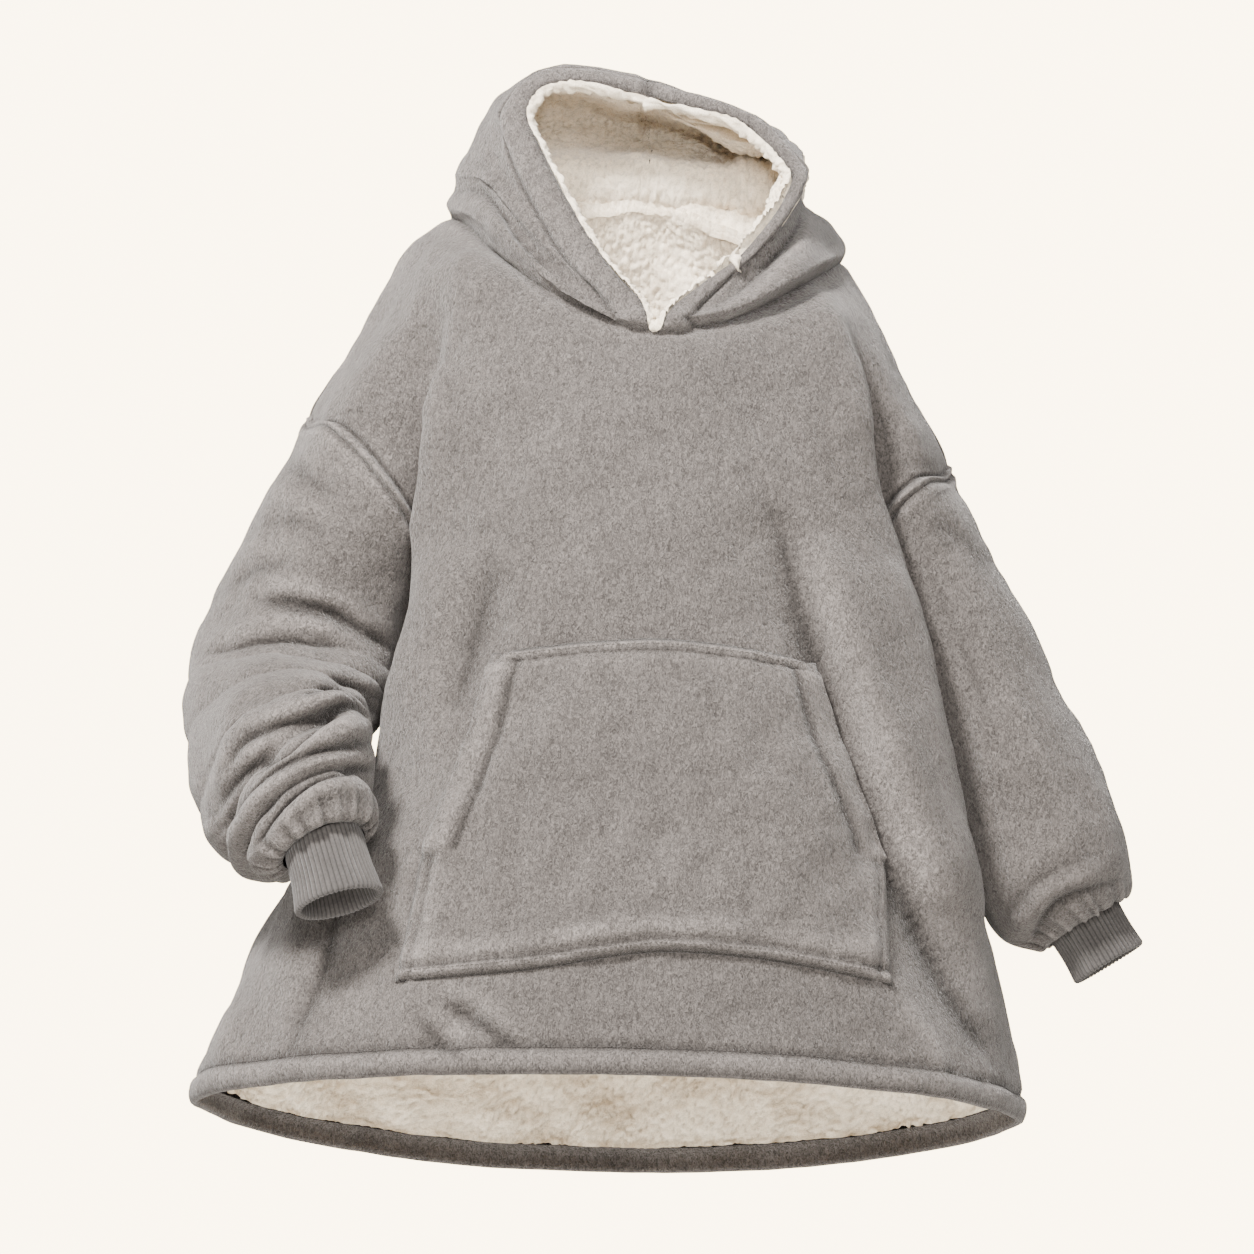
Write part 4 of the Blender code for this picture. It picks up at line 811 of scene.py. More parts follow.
def meeting_points(grids, grain):
    """Groups of edge points that lie at one place on two or more grids."""
    members = {}
    for name, (points, wrap) in grids.items():
        rows, columns = points.shape[:2]
        edge = {(r, c) for r in (0, rows - 1) for c in range(columns)}
        if not wrap:
            edge |= {(r, c) for r in range(rows) for c in (0, columns - 1)}
        for r, c in sorted(edge):
            key = tuple(np.round(points[r, c] / grain).astype(int))
            members.setdefault(key, []).append((name, r, c))
    return [group for group in members.values() if len({name for name, _, _ in group}) > 1]


def share_normals(surfaces):
    """Give the points of each seam one normal."""
    grids = {name: (points, wrap) for name, (points, _, wrap) in surfaces.items()}
    for group in meeting_points(grids, 1e-5):
        normals = np.array([surfaces[name][1][r, c] for name, r, c in group])
        inward = np.array([unit(inward_step(surfaces[name], r, c)) for name, r, c in group])
        hollow = (inward @ normals.T).sum() - (inward * normals).sum()
        tube = np.array([surfaces[name][2] for name, r, c in group])
        faced = unit(normals[~tube].sum(axis=0)) + normals[tube].sum(axis=0)
        normal = unit(faced + inward.sum(axis=0) * np.clip(hollow, 0.0, 1.0))
        for name, r, c in group:
            surfaces[name][1][r, c] = normal


def inward_step(surface, r, c):
    """Direction from an edge point into its piece, along the cloth."""
    points, _, wrap = surface
    rows, columns = points.shape[:2]
    inward = np.zeros(3)
    if r in (0, rows - 1):
        inward += unit(points[1 if r == 0 else rows - 2, c] - points[r, c])
    if not wrap and c in (0, columns - 1):
        inward += unit(points[r, 1 if c == 0 else columns - 2] - points[r, c])
    return inward


def unit(vector):
    """The vector at length one."""
    return vector / max(np.linalg.norm(vector), 1e-12)


def finer(spans):
    """The solid's spans in the finer steps of the cloth."""
    return tuple(count * DETAIL for count in spans)


def along_rows(points):
    """Distance of each point from the first row, along its column."""
    steps = np.linalg.norm(np.diff(points, axis=0), axis=2)
    return np.vstack((np.zeros(points.shape[1]), np.cumsum(steps, axis=0)))


def along_columns(points):
    """Distance of each point from the first column, along its row."""
    return along_rows(points.transpose(1, 0, 2)).T


def bump(distance, reach):
    """A soft rise of height one at distance nought."""
    return np.exp(-((distance / reach) ** 2))


def unevenness(points, size, seed):
    """Soft irregular heights of about one, which change over the given size."""
    draw = np.random.default_rng(seed)
    total = np.zeros(points.shape[:-1])
    for _ in range(WAVES):
        way = draw.normal(size=3)
        way *= draw.uniform(0.7, 1.5) * 2 * math.pi / size / np.linalg.norm(way)
        total += np.sin(points @ way + draw.uniform(0.0, 2 * math.pi))
    return total / WAVE_LEVEL


def camera_axes():
    """The camera's place, its way ahead and its way up."""
    tilt = math.radians(CAMERA_TILT)
    ahead = np.array([0.0, math.cos(tilt), math.sin(tilt)])
    up = np.array([0.0, -math.sin(tilt), math.cos(tilt)])
    return np.array(CAMERA_TARGET) - ahead * CAMERA_DISTANCE, ahead, up


def seen_from(points, view):
    """Places of points in a view, in centimetres."""
    if view == "back":
        return points[..., (0, 2)] / CM
    if view == "side":
        return points[..., (1, 2)] / CM
    place, ahead, up = camera_axes()
    offset = points - place
    depth = offset @ ahead
    flat = np.stack([offset[..., 0], offset @ up], axis=-1) / depth[..., None]
    return flat * CAMERA_DISTANCE / CM + np.array(NECK_SEEN)


def turned_to(normals, view):
    """How squarely each point faces a view, from nought to one."""
    if view == "side":
        return np.clip(np.abs(normals[..., 0]) * 2.0 - 0.3, 0.0, 1.0)
    sign = 1.0 if view == "back" else -1.0
    return np.clip(sign * normals[..., 1] * 2.5 + 0.3, 0.0, 1.0)


def crease_lift(piece, points, normals):
    """Height that the creases of a piece give each of its points, in metres."""
    lift = np.zeros(points.shape[:2])
    for (owner, view), creases in CREASES.items():
        if owner != piece:
            continue
        flat = seen_from(points, view)
        for height, reach, lean, *bends in creases:
            steps = np.linspace(0.0, len(bends) - 1.0, PATH_STEPS)
            path = spline(np.arange(len(bends)), bends, steps)
            low = path.min(axis=0) - 4 * reach
            high = path.max(axis=0) + 4 * reach
            near = np.all((flat > low) & (flat < high), axis=2)
            nearest, distance, side = beside(path, flat[near])
            ends = np.sin(math.pi * np.clip(nearest / (PATH_STEPS - 1), 0.02, 0.98)) ** 0.5
            shape = height * np.exp(-distance / reach)
            step = lean * np.sign(side) * np.tanh(distance / reach) * bump(distance, 3 * reach)
            swell = -0.3 * min(height, 0.0) * bump(distance - 2.2 * reach, 1.3 * reach)
            beyond = np.clip(1.0 - distance / (4 * reach), 0.0, 1.0)
            facing = turned_to(normals[near], view)
            lift[near] += (shape + step + swell) * ends * beyond * facing * MM
    return lift


def puffed(distance, wide):
    """A soft roll of height one from an edge to the given distance."""
    return np.sin(math.pi * np.clip(distance / wide, 0.0, 1.0)) ** 0.7


def seam_lift(piece, points, sizes):
    """Grooves, raised bands and turned hems beside the edges of a piece."""
    down = along_rows(points)
    up = down[-1] - down
    left = along_columns(points)
    right = left[:, -1:] - left
    deep = sizes.seam_depth
    if piece.endswith("panel"):
        lift = np.zeros(points.shape[:2])
        places = panel_places()[:, None]
        armhole = (places > UNDERARM - 0.01) & (places < ARMHOLE_TOP + 0.01)
        for edge in (left, right):
            plain = -deep * bump(edge, SEAM_REACH)
            band = sizes.armhole_band * bump(edge - SEAM_REACH, BAND_REACH)
            band = band - deep * bump(edge - BAND_END, BAND_GROOVE)
            lift += np.where(armhole, band, plain)
        lift += -deep * bump(up, SEAM_REACH)
        facing = HEM_FACING * CM
        lift += stitched(down, facing, np.broadcast_to(left[:1], lift.shape), sizes)
        return lift + sizes.hem_puff * puffed(down, facing)
    if piece.startswith("sleeve"):
        lift = -deep * bump(down, 0.003) + SLEEVE_BESIDE * deep * bump(down - 0.008, 0.004)
        return lift - 0.5 * deep * bump(up, 0.004)
    lift = -deep * bump(down, SEAM_REACH) - deep * bump(up, SEAM_REACH) - deep * bump(right, SEAM_REACH)
    seam = HOOD_SPANS[0] * DETAIL
    wide = left[:, seam:seam + 1]
    return lift + sizes.rim_puff * puffed(left, wide) + stitched(left, wide, down, sizes)


def stitched(distance, place, along, sizes):
    """A sewn line's groove, with the small puckers that its thread draws up."""
    groove = -sizes.seam_depth * bump(distance - place, STITCH_REACH)
    pucker = np.sin(along * 2 * math.pi / sizes.pucker + 3.0 * np.sin(along * 2 * math.pi / 0.05))
    return groove + PUCKER_HEIGHT * pucker * bump(distance - place, PUCKER_REACH)


def gather_lift(piece, points):
    """Puckers that run up a sleeve from its gathered end."""
    if not piece.startswith("sleeve"):
        return 0.0
    down = along_rows(points)
    up = down[-1] - down
    turn = np.linspace(0.0, 2 * math.pi, points.shape[1], endpoint=False)
    wave = np.sin(17 * turn + 1.3 * np.sin(2 * turn)) + 0.7 * np.sin(29 * turn + 2 * np.sin(3 * turn))
    return GATHER_HEIGHT * wave[None, :] * bump(up, GATHER_REACH) * (1.0 - bump(up, 0.005))


def cloth(sizes):
    """Points and normals of every shell, with its folds, made once for all pieces."""
    if _cloth:
        return _cloth
    front = make_panel(True)
    back = make_panel(False)
    meet_at_sides(front, back)
    loops = {"left": armhole_loop(front, back, 0), "right": armhole_loop(front, back, -1)}
    shells = {
        "front_panel": (front, False),
        "back_panel": (back, False),
        "sleeve_left": (make_sleeve(loops["left"], SLEEVE_LEFT), True),
        "sleeve_right": (make_sleeve(loops["right"], SLEEVE_RIGHT), True),
        "hood_left": (make_hood_half(HOOD_LEFT, front, back, False), False),
        "hood_right": (make_hood_half(HOOD_RIGHT, front, back, True), False),
    }
    for name, (points, wrap) in shells.items():
        normals = facing_out(name, points, wrap)
        _creases[name] = crease_lift(name, points, normals)
        lift = _creases[name] + seam_lift(name, points, sizes) + gather_lift(name, points)
        # How far the creases, seams and bands stand out, kept to paint shade into troughs and highlight
        # onto raised cloth
        _painted_fold_shades[name] = painted_fold_shade_share(lift, wrap)
        lift = lift + sizes.swell * unevenness(points, 0.11, 3)
        lift = lift + 0.3 * sizes.swell * unevenness(points, 0.034, 7)
        if name.startswith("hood"):
            lift = lift - HOOD_DRAW * np.clip(along_columns(points) / 0.06, 0.0, 1.0)
        _cloth[name] = [points, normals, points + normals * lift[:, :, None], wrap]
    sew(_cloth, 4)
    for name, shell in _cloth.items():
        shell[1] = facing_out(name, shell[2], shell[3])
    return _cloth


def evened(values, rounds, wrap=False):
    """A grid's values, evened out with those of their four neighbours."""
    for _ in range(rounds):
        padded = np.pad(values, ((1, 1), (0, 0)), mode="edge")
        padded = np.pad(padded, ((0, 0), (1, 1)), mode="wrap" if wrap else "edge")
        around = padded[:-2, 1:-1] + padded[2:, 1:-1] + padded[1:-1, :-2] + padded[1:-1, 2:]
        values = (around + 4 * values) / 8
    return values


def widened(values, rounds, pick):
    """A grid's values, each the least or the greatest of its own and its neighbours'."""
    rows, columns = values.shape
    for _ in range(rounds):
        padded = np.pad(values, 1, mode="edge")
        values = pick.reduce([padded[a:a + rows, b:b + columns] for a, b in np.ndindex(3, 3)])
    return values


def painted_fold_shade_share(lift, wrap=False):
    """How far each point stands out from the cloth round it, from minus one to one: the share of painted
    shade in troughs and of painted highlight on raised cloth.
    """
    return np.clip((lift - evened(lift, PAINTED_SHADE_ROUNDS, wrap)) / PAINTED_SHADE_HEIGHT, -1.0, 1.0)


def sew(shells, reach):
    """Bring edge points that lie together before the folds together after them."""
    moves = {name: np.zeros_like(shell[2]) for name, shell in shells.items()}
    grids = {name: (shell[0], shell[3]) for name, shell in shells.items()}
    for group in meeting_points(grids, 2e-5):
        middle = np.mean([shells[name][2][r, c] for name, r, c in group], axis=0)
        for name, r, c in group:
            moves[name][r, c] = middle - shells[name][2][r, c]
    for name, shell in shells.items():
        shell[2] += eased(moves[name], reach)


def eased(moves, reach):
    """Moves of a grid's edge points, fading out over the rows and columns beside them."""
    total = moves.copy()
    fade = (1.0 - np.arange(1, reach) / reach) ** 2
    for _ in range(2):
        for step, share in enumerate(fade, 1):
            total[step, 1:-1] += moves[0, 1:-1] * share
            total[-1 - step, 1:-1] += moves[-1, 1:-1] * share
        total = total.transpose(1, 0, 2)
        moves = moves.transpose(1, 0, 2)
    return total


def turned_edge(points, normals, radius, runs):
    """A grid with its first row turned round inside and back along the cloth."""
    out = points[0] - points[2]
    out = out / np.linalg.norm(out, axis=1, keepdims=True)
    rows = [points[k] - normals[k] * 2 * radius for k in range(runs, 0, -1)]
    for step in range(TURN_STEPS - 1, 0, -1):
        turn = math.pi * step / TURN_STEPS
        rows.append(points[0] + out * radius * math.sin(turn) - normals[0] * radius * (1 - math.cos(turn)))
    return np.concatenate((rows, points))


def with_turn(values, rows):
    """Values of a grid, with nought over the rows of its turned edge."""
    return np.pad(values, ((rows - len(values), 0), (0, 0)))


def grid_piece(name, points, material, wrap=False, values=None, flip=False):
    """A mesh object over a grid of points, with a value for each point."""
    faces = grid_faces(points.shape, wrap)
    if flip:
        faces = faces[:, ::-1]
    mesh = bpy.data.meshes.new(name)
    mesh.from_pydata(points.reshape(-1, 3).tolist(), [], faces.tolist())
    for attribute_name, numbers in (values or {}).items():
        layer = mesh.attributes.new(attribute_name, "FLOAT", "POINT")
        layer.data.foreach_set("value", np.asarray(numbers, float).ravel())
    mesh.shade_smooth()
    mesh.materials.append(material)
    return linked(name, mesh)


def linked(name, data):
    """A new object in the scene."""
    piece = bpy.data.objects.new(name, data)
    bpy.context.scene.collection.objects.link(piece)
    return piece


def faces_in(points, normals, wrap=False):
    """True where a grid's faces point against its normals."""
    return np.einsum("ijk,ijk->", grid_normals(points, wrap), normals) < 0


def wear(piece, nodes):
    """Put a finished piece in the place of its solids."""
    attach(piece, "root")
    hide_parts(*nodes)


def pile_height(points, size, seed):
    """Curly tufts as heights from nought to one: domes in cells, with finer curls on them."""
    warp = [unevenness(points, 0.011, seed + k) for k in range(3)]
    warped = points + TUFT_WARP * np.stack(warp, axis=-1)
    big = tuft_cells(warped, size, seed)
    small = tuft_cells(warped, size * CURL_SHARE, seed + 11)
    height = 0.72 * big + 0.34 * small * (0.4 + 0.6 * big)
    return np.clip(height * (1.0 + 0.12 * unevenness(points, 0.03, seed + 5)), 0.0, 1.1)


def tuft_cells(points, size, seed):
    """Domes of height one in the cells round scattered centres."""
    flat = points.reshape(-1, 3) / size
    base = np.floor(flat).astype(int)
    best = np.full(len(flat), 9.0)
    second = np.full(len(flat), 9.0)
    for shift in np.ndindex(3, 3, 3):
        cell = base + np.array(shift) - 1
        mixed = (cell * np.array(CELL_PRIMES)).sum(axis=1) + seed * SEED_PRIME
        centre = np.empty_like(flat)
        for axis in range(3):
            mixed = (mixed * SCATTER_FACTOR + SCATTER_STEP) & 0x7FFFFFFF
            centre[:, axis] = cell[:, axis] + 0.1 + 0.8 * ((mixed >> 8) & 0xFFFF) / 65535.0
        gap = np.linalg.norm(flat - centre, axis=1)
        second = np.minimum(second, np.maximum(best, gap))
        best = np.minimum(best, gap)
    dome = np.clip((second - best) / 0.55, 0.0, 1.0) ** 0.6
    return (dome * np.clip(1.25 - 0.5 * best, 0.0, 1.0)).reshape(points.shape[:-1])


def linings(sizes):
    """Smooth visible faces of the four linings, sewn to each other, made once."""
    if _linings:
        return _linings
    names = ("front_panel", "back_panel", "hood_left", "hood_right")
    shells = {name: cloth(sizes)[name] for name in names}
    ways = seam_ways(shells)
    tree = tree_of([shell[2] for shell in shells.values()])
    for name, (plain, _, folded, _) in shells.items():
        hood = name.startswith("hood")
        part = np.s_[0 if hood else int(np.argmax(panel_places() >= LINING_FOOT)):]
        normals = ways[name]
        room = room_inside(tree, folded, normals)
        depth = hood_depth(folded, sizes) if hood else panel_depth(folded.shape)
        lining = name.replace("_panel", "") + "_lining"
        inside = np.zeros_like(folded)
        inside[..., 1] = -1.0
        depth = depth + crease_lift(lining, folded, inside)
        depth = depth + 0.003 * (1 + unevenness(folded, 0.075, 21)) * rim_fade(folded, hood)
        depth = np.clip(depth, 0.0015, np.maximum(0.42 * room, 0.0016))
        base = folded - normals * depth[:, :, None]
        press_shelf(base, hood, name == "back_panel")
        base = kept_inside(base, folded, np.minimum(LINING_CLEAR, 0.3 * room))
        spare = np.clip(0.5 * room - depth, 0.0, 0.02)
        _linings[name] = [plain[part], -normals[part], base[part], False, spare[part], folded[part]]
    sew(_linings, 10)
    for name, lining in _linings.items():
        seat_front_neck(lining[2], name.startswith("hood"))
        lining[2] = kept_inside(lining[2], lining[5], np.full(lining[2].shape[:2], LINING_LEAST))
    return _linings


def seat_front_neck(base, hood):
    """Move a lining's neck edge at the front back behind the shells' seam."""
    neck = along_rows(base)
    if not hood:
        neck = neck[-1] - neck
    edge = base[0 if hood else -1]
    front = np.clip((-0.01 - edge[:, 1]) / 0.03, 0.0, 1.0)
    if hood:
        front = front * np.clip(along_columns(base)[0] / 0.03, 0.0, 1.0)
    base[:, :, 1] += NECK_BACK * front[None, :] * bump(neck, 0.022)


def seam_ways(shells):
    """Outward ways of the shells, brought together at their seams."""
    surfaces = {name: (shell[2], smoothed(shell[1], 6), False) for name, shell in shells.items()}
    before = {name: surface[1].copy() for name, surface in surfaces.items()}
    share_normals(surfaces)
    ways = {}
    for name, (_, normals, _) in surfaces.items():
        moved = before[name] + eased(normals - before[name], 14)
        ways[name] = moved / np.linalg.norm(moved, axis=2, keepdims=True)
    return ways


def tree_of(grids):
    """One search tree over the faces of several grids."""
    points, faces, count = [], [], 0
    for grid in grids:
        points.extend(grid.reshape(-1, 3).tolist())
        faces.extend((grid_faces(grid.shape) + count).tolist())
        count = len(points)
    return BVHTree.FromPolygons(points, faces)


def room_inside(tree, folded, normals):
    """Free distance inside a shell at each point, up to the next wall of cloth."""
    room = np.full(folded.shape[:2], ROOM_MOST)
    starts = folded - normals * 0.001
    for place in np.ndindex(room.shape):
        distance = tree.ray_cast(starts[place].tolist(), (-normals[place]).tolist(), ROOM_MOST)[3]
        if distance is not None:
            room[place] = distance
    return evened(widened(room, 3, np.minimum), 4)


def hood_depth(folded, sizes):
    """How far a hood lining's face lies inside the shell's, at each point."""
    full = np.clip((np.arange(folded.shape[1]) - DETAIL) / (6.0 * DETAIL), 0.0, 1.0)
    thick = SHERPA_THIN + (SHERPA - SHERPA_THIN) * full
    gap = LINING_SEAT + (HOOD_LINING_GAP - LINING_SEAT) * full
    turned = 2 * sizes.rim_turn + 0.0016
    return np.maximum(FLEECE + gap + thick, turned * bump(along_columns(folded), 0.03))


def panel_depth(shape):
    """How far a panel lining's face lies inside the shell's, at each point."""
    places = panel_places()
    columns = np.arange(shape[1])
    edge = np.clip((np.minimum(columns, columns[-1] - columns) / DETAIL - 1.0) / 5.0, 0.0, 1.0)
    armhole = np.clip(1.6 - np.abs(places - (UNDERARM + 1.5)) / 1.6, 0.0, 1.0)
    full = 1.0 - armhole[:, None] * (1.0 - edge[None, :])
    below = np.clip((places - LINING_FOOT) / 0.5, 0.0, 1.0)[:, None]
    gap = LINING_SEWN + (LINING_GAP - LINING_SEWN) * below
    return FLEECE + gap + SHERPA_THIN + (SHERPA - SHERPA_THIN) * full * (0.5 + 0.5 * below)


def press_shelf(base, hood, back):
    """Bring the lining forward in the fold that hangs behind the neck."""
    across = np.linspace(0.0, 1.0, base.shape[1])
    if hood:
        place = np.linspace(0.0, 1.0, len(base)) - SHELF_PLACE
        fall = np.exp(-((place / (0.62 * SHELF_REACH)) ** 2))
        height = np.where(place > 0, fall, 1.0 - 0.2 * (place / SHELF_PLACE) ** 2)
        width = np.clip((across - 0.40) / 0.45, 0.0, 1.0)
    elif back:
        below = along_rows(base)[-1] - along_rows(base)
        height = 0.8 * bump(below, 0.13)
        width = np.clip(1.0 - np.abs(across - 0.5) / 0.36, 0.0, 1.0) / 0.8
        width = np.clip(width, 0.0, 1.0)[None, :]
    else:
        return
    push = (height[:, None] if hood else height) * (width**2 * (3 - 2 * width))
    base[:, :, 1] -= SHELF_PUSH * CM * push
    base[:, :, 2] -= SHELF_SAG * CM * push * (0.0 if back else 1.0)


def grid_faces(shape, wrap=False):
    """The four-sided faces of a grid of points."""
    index = np.arange(shape[0] * shape[1]).reshape(shape[:2])
    if wrap:
        index = np.concatenate((index, index[:, :1]), axis=1)
    faces = np.stack([index[:-1, :-1], index[:-1, 1:], index[1:, 1:], index[1:, :-1]], axis=-1)
    return faces.reshape(-1, 4)


def kept_inside(base, shell, clear):
    """A lining's points, moved in where they come closer to the shell than allowed."""
    tree = tree_of([shell])
    clear = np.ravel(clear)
    away = np.sign(np.einsum("ijk,ijk->", base - shell, grid_normals(shell))) * -1.0
    moved = base.copy()
    for _ in range(2):
        flat = moved.reshape(-1, 3)
        for index, point in enumerate(flat.tolist()):
            place, normal, _, _ = tree.find_nearest(point)
            outward = np.array(normal) * away
            height = np.dot(flat[index] - np.array(place), outward)
            if height > -clear[index]:
                flat[index] -= outward * (height + clear[index])
    return moved


def row_shares(points, steps):
    """Shares along a grid's rows, with steps as close as asked for each height."""
    middle = points[:, points.shape[1] // 2]
    along = lengths(middle)
    wanted = np.interp(along, (0.0, 0.13, 0.2, along[-1] - 0.22, along[-1] - 0.14, along[-1]), steps)
    count = np.concatenate(([0.0], np.cumsum(np.diff(along) / ((wanted[1:] + wanted[:-1]) / 2))))
    places = np.linspace(0.0, count[-1], int(count[-1]) + 1)
    return np.interp(places, count, np.arange(len(along)))


def drawn(points, row_places, column_places):
    """A grid read at other places among its rows and its columns."""
    points = spline(np.arange(len(points)), points, row_places)
    points = spline(np.arange(points.shape[1]), points.transpose(1, 0, 2), column_places)
    return points.transpose(1, 0, 2)


def make_lining(name, sizes, material):
    """One lining, its pile raised in tufts over its visible face."""
    hood = name.startswith("hood")
    _, ways, base, _, spare, shell = linings(sizes)[name]
    wide = base.shape[1] - 1
    if hood:
        row_places = np.linspace(0.0, len(base) - 1.0, HOOD_PILE[0])
        column_places = np.linspace(0.0, wide, HOOD_PILE[1])
    elif name == "back_panel":
        row_places = row_shares(base, BACK_PILE_STEPS)
        column_places = np.linspace(0.0, wide, BACK_PILE_COLUMNS)
    else:
        row_places = row_shares(base, FRONT_PILE_STEPS)
        column_places = np.linspace(0.0, wide, FRONT_PILE_COLUMNS)
    points = drawn(base, row_places, column_places)
    inside = smoothed(grid_normals(points), 2)
    inside *= np.sign(np.einsum("ijk,ijk->", inside, drawn(ways, row_places, column_places)))
    spare = drawn(spare[:, :, None], row_places, column_places)[..., 0]
    if hood:
        points, inside, spare = rolled_rim(points, inside, spare, sizes)
    height = pile_height(points, sizes.tuft_size, 31)
    tall = np.full(height.shape, sizes.tuft_height)
    if hood:
        from_rim = along_columns(points)
        seam = from_rim[:, -1:] - from_rim
        tall += RIM_PILE * bump(from_rim - 0.008, 0.010) + SEAM_PILE * bump(seam - 0.006, 0.007)
        rise = height * tall - SEAM_PILE * bump(seam, 0.003)
        neck = along_rows(points)
    else:
        rise = height * tall
        neck = along_rows(points)[-1] - along_rows(points)
    rise = rise * (1.0 - 0.5 * bump(neck, 0.006))
    lifted = points + inside * np.minimum(rise, spare)[..., None]
    away = grid_normals(shell)
    away *= np.sign(np.einsum("ijk,ijk->", away, ways))
    seat = between(shell + away * SEAT_DEPTH, row_places, column_places)
    away = between(away, row_places, column_places)
    beads = lifted.shape[1] - seat.shape[1]
    face = lifted[:, beads:]
    behind = np.einsum("ijk,ijk->ij", face - seat, away)
    near = np.linalg.norm(face - seat, axis=2)
    by_rim = np.arange(face.shape[1]) < RIM_SIDE * face.shape[1]
    astray = hood & ((behind < 0.0) | (by_rim & (near > LINING_MOST)))
    astray |= came_out(face, inside[:, beads:], shell, ways)
    back_in = spread_wide(astray)
    if hood:
        back_in = np.maximum(back_in, hidden_at_neck(seat))
    face += (seat - face) * back_in[..., None]
    if hood:
        creases = between(_creases[name][:, :, None], row_places, column_places)[..., 0]
        deep = spread_wide(creases < -CREASE_DEEP)
        front = np.clip((0.03 - seat[..., 1]) / 0.02, 0.0, 1.0)
        face[..., 1] += CREASE_BACK * np.maximum(deep, back_in) * front
    points, inside, height = tucked_neck(points, lifted, inside, height, hood)
    flip = np.einsum("ijk,ijk->", grid_normals(points), inside) < 0
    lining = name.replace("_panel", "") + "_lining"
    piece = grid_piece(lining + "_pile", points, material, values={"pile": height}, flip=flip)
    wear(piece, [lining])
    return piece


def between(points, row_places, column_places):
    """A grid read straight between its points at other places."""
    for places in (row_places, column_places):
        low = np.minimum(places.astype(int), len(points) - 2)
        share = (places - low)[:, None, None]
        points = points[low] * (1.0 - share) + points[low + 1] * share
        points = points.transpose(1, 0, 2)
    return points


def hidden_at_neck(seat):
    """One where a hood lining lies hidden in the roll at the front of the neck."""
    low = np.clip(1.5 - along_rows(seat) / 0.04, 0.0, 1.0)
    from_rim = np.clip(along_columns(seat) / 0.015 - 1.0, 0.0, 1.0)
    front = np.clip((-0.01 - seat[:1, :, 1]) / 0.03, 0.0, 1.0)
    return low * from_rim * front


def came_out(face, inside, shell, ways):
    """Where a lining's points came out through its shell."""
    tree = tree_of([shell])
    outward = -np.sign(np.einsum("ijk,ijk->", grid_normals(shell), ways))
    out = np.zeros(face.shape[:2], bool)
    for place in np.ndindex(out.shape):
        way = inside[place]
        _, normal, _, _ = tree.ray_cast(face[place].tolist(), way.tolist(), SHELL_NEAR)
        out[place] = normal is not None and np.dot(normal, way) * outward < 0
    return out


def spread_wide(marked):
    """One at marked places and beside them, falling softly to nought."""
    return evened(widened(marked.astype(float), 4, np.maximum), 4)


def rolled_rim(points, inside, spare, sizes):
    """A hood lining with more columns, which roll its pile round past the rim's edge."""
    radius = sizes.rim_bead
    way = inside[:, 1]
    out = points[:, 0] - points[:, 6]
    out = out - way * np.sum(out * way, axis=1, keepdims=True)
    out = out / np.linalg.norm(out, axis=1, keepdims=True)
    middle = points[:, 0] + out * (sizes.rim_turn - 0.001) - way * radius
    turns = np.radians(np.arange(*BEAD_TURNS))
    ways = [out * math.sin(turn) - way * math.cos(turn) for turn in turns]
    bead = np.stack([middle + turned * radius for turned in ways], axis=1)
    points = np.concatenate((bead, points), axis=1)
    inside = np.concatenate((np.stack(ways, axis=1), inside), axis=1)
    spare = np.concatenate((np.full(bead.shape[:2], 0.02), spare), axis=1)
    return points, inside, spare


def tucked_neck(points, lifted, inside, height, first):
    """A lining with two more rows, tucked at the neck behind the lining it is sewn to."""
    edge, next_in = (0, 4) if first else (-1, -5)
    out = points[edge] - points[next_in]
    out = out / np.linalg.norm(out, axis=1, keepdims=True)
    reach = np.clip(points[edge][:, 1:2] / 0.03, 0.03, 1.0)
    rows = [lifted[edge] + (out * along - inside[edge] * deep) * reach for along, deep in NECK_TUCK]
    ways = [inside[edge], inside[edge]]
    # The tucked rows' pile is set lower, which paints shade into the tuck
    tufts = [0.6 * height[edge], 0.4 * height[edge]]
    if first:
        groups = ((rows[::-1], lifted), (ways, inside), (tufts[::-1], height))
    else:
        groups = ((lifted, rows), (inside, ways), (height, tufts))
    return [np.concatenate(group) for group in groups]


def rim_fade(points, hood):
    """Nought at a lining's sewn rim and one away from it."""
    if not hood:
        return np.ones(points.shape[:2])
    return np.clip((along_columns(points) - 0.01) / 0.05, 0.0, 1.0)


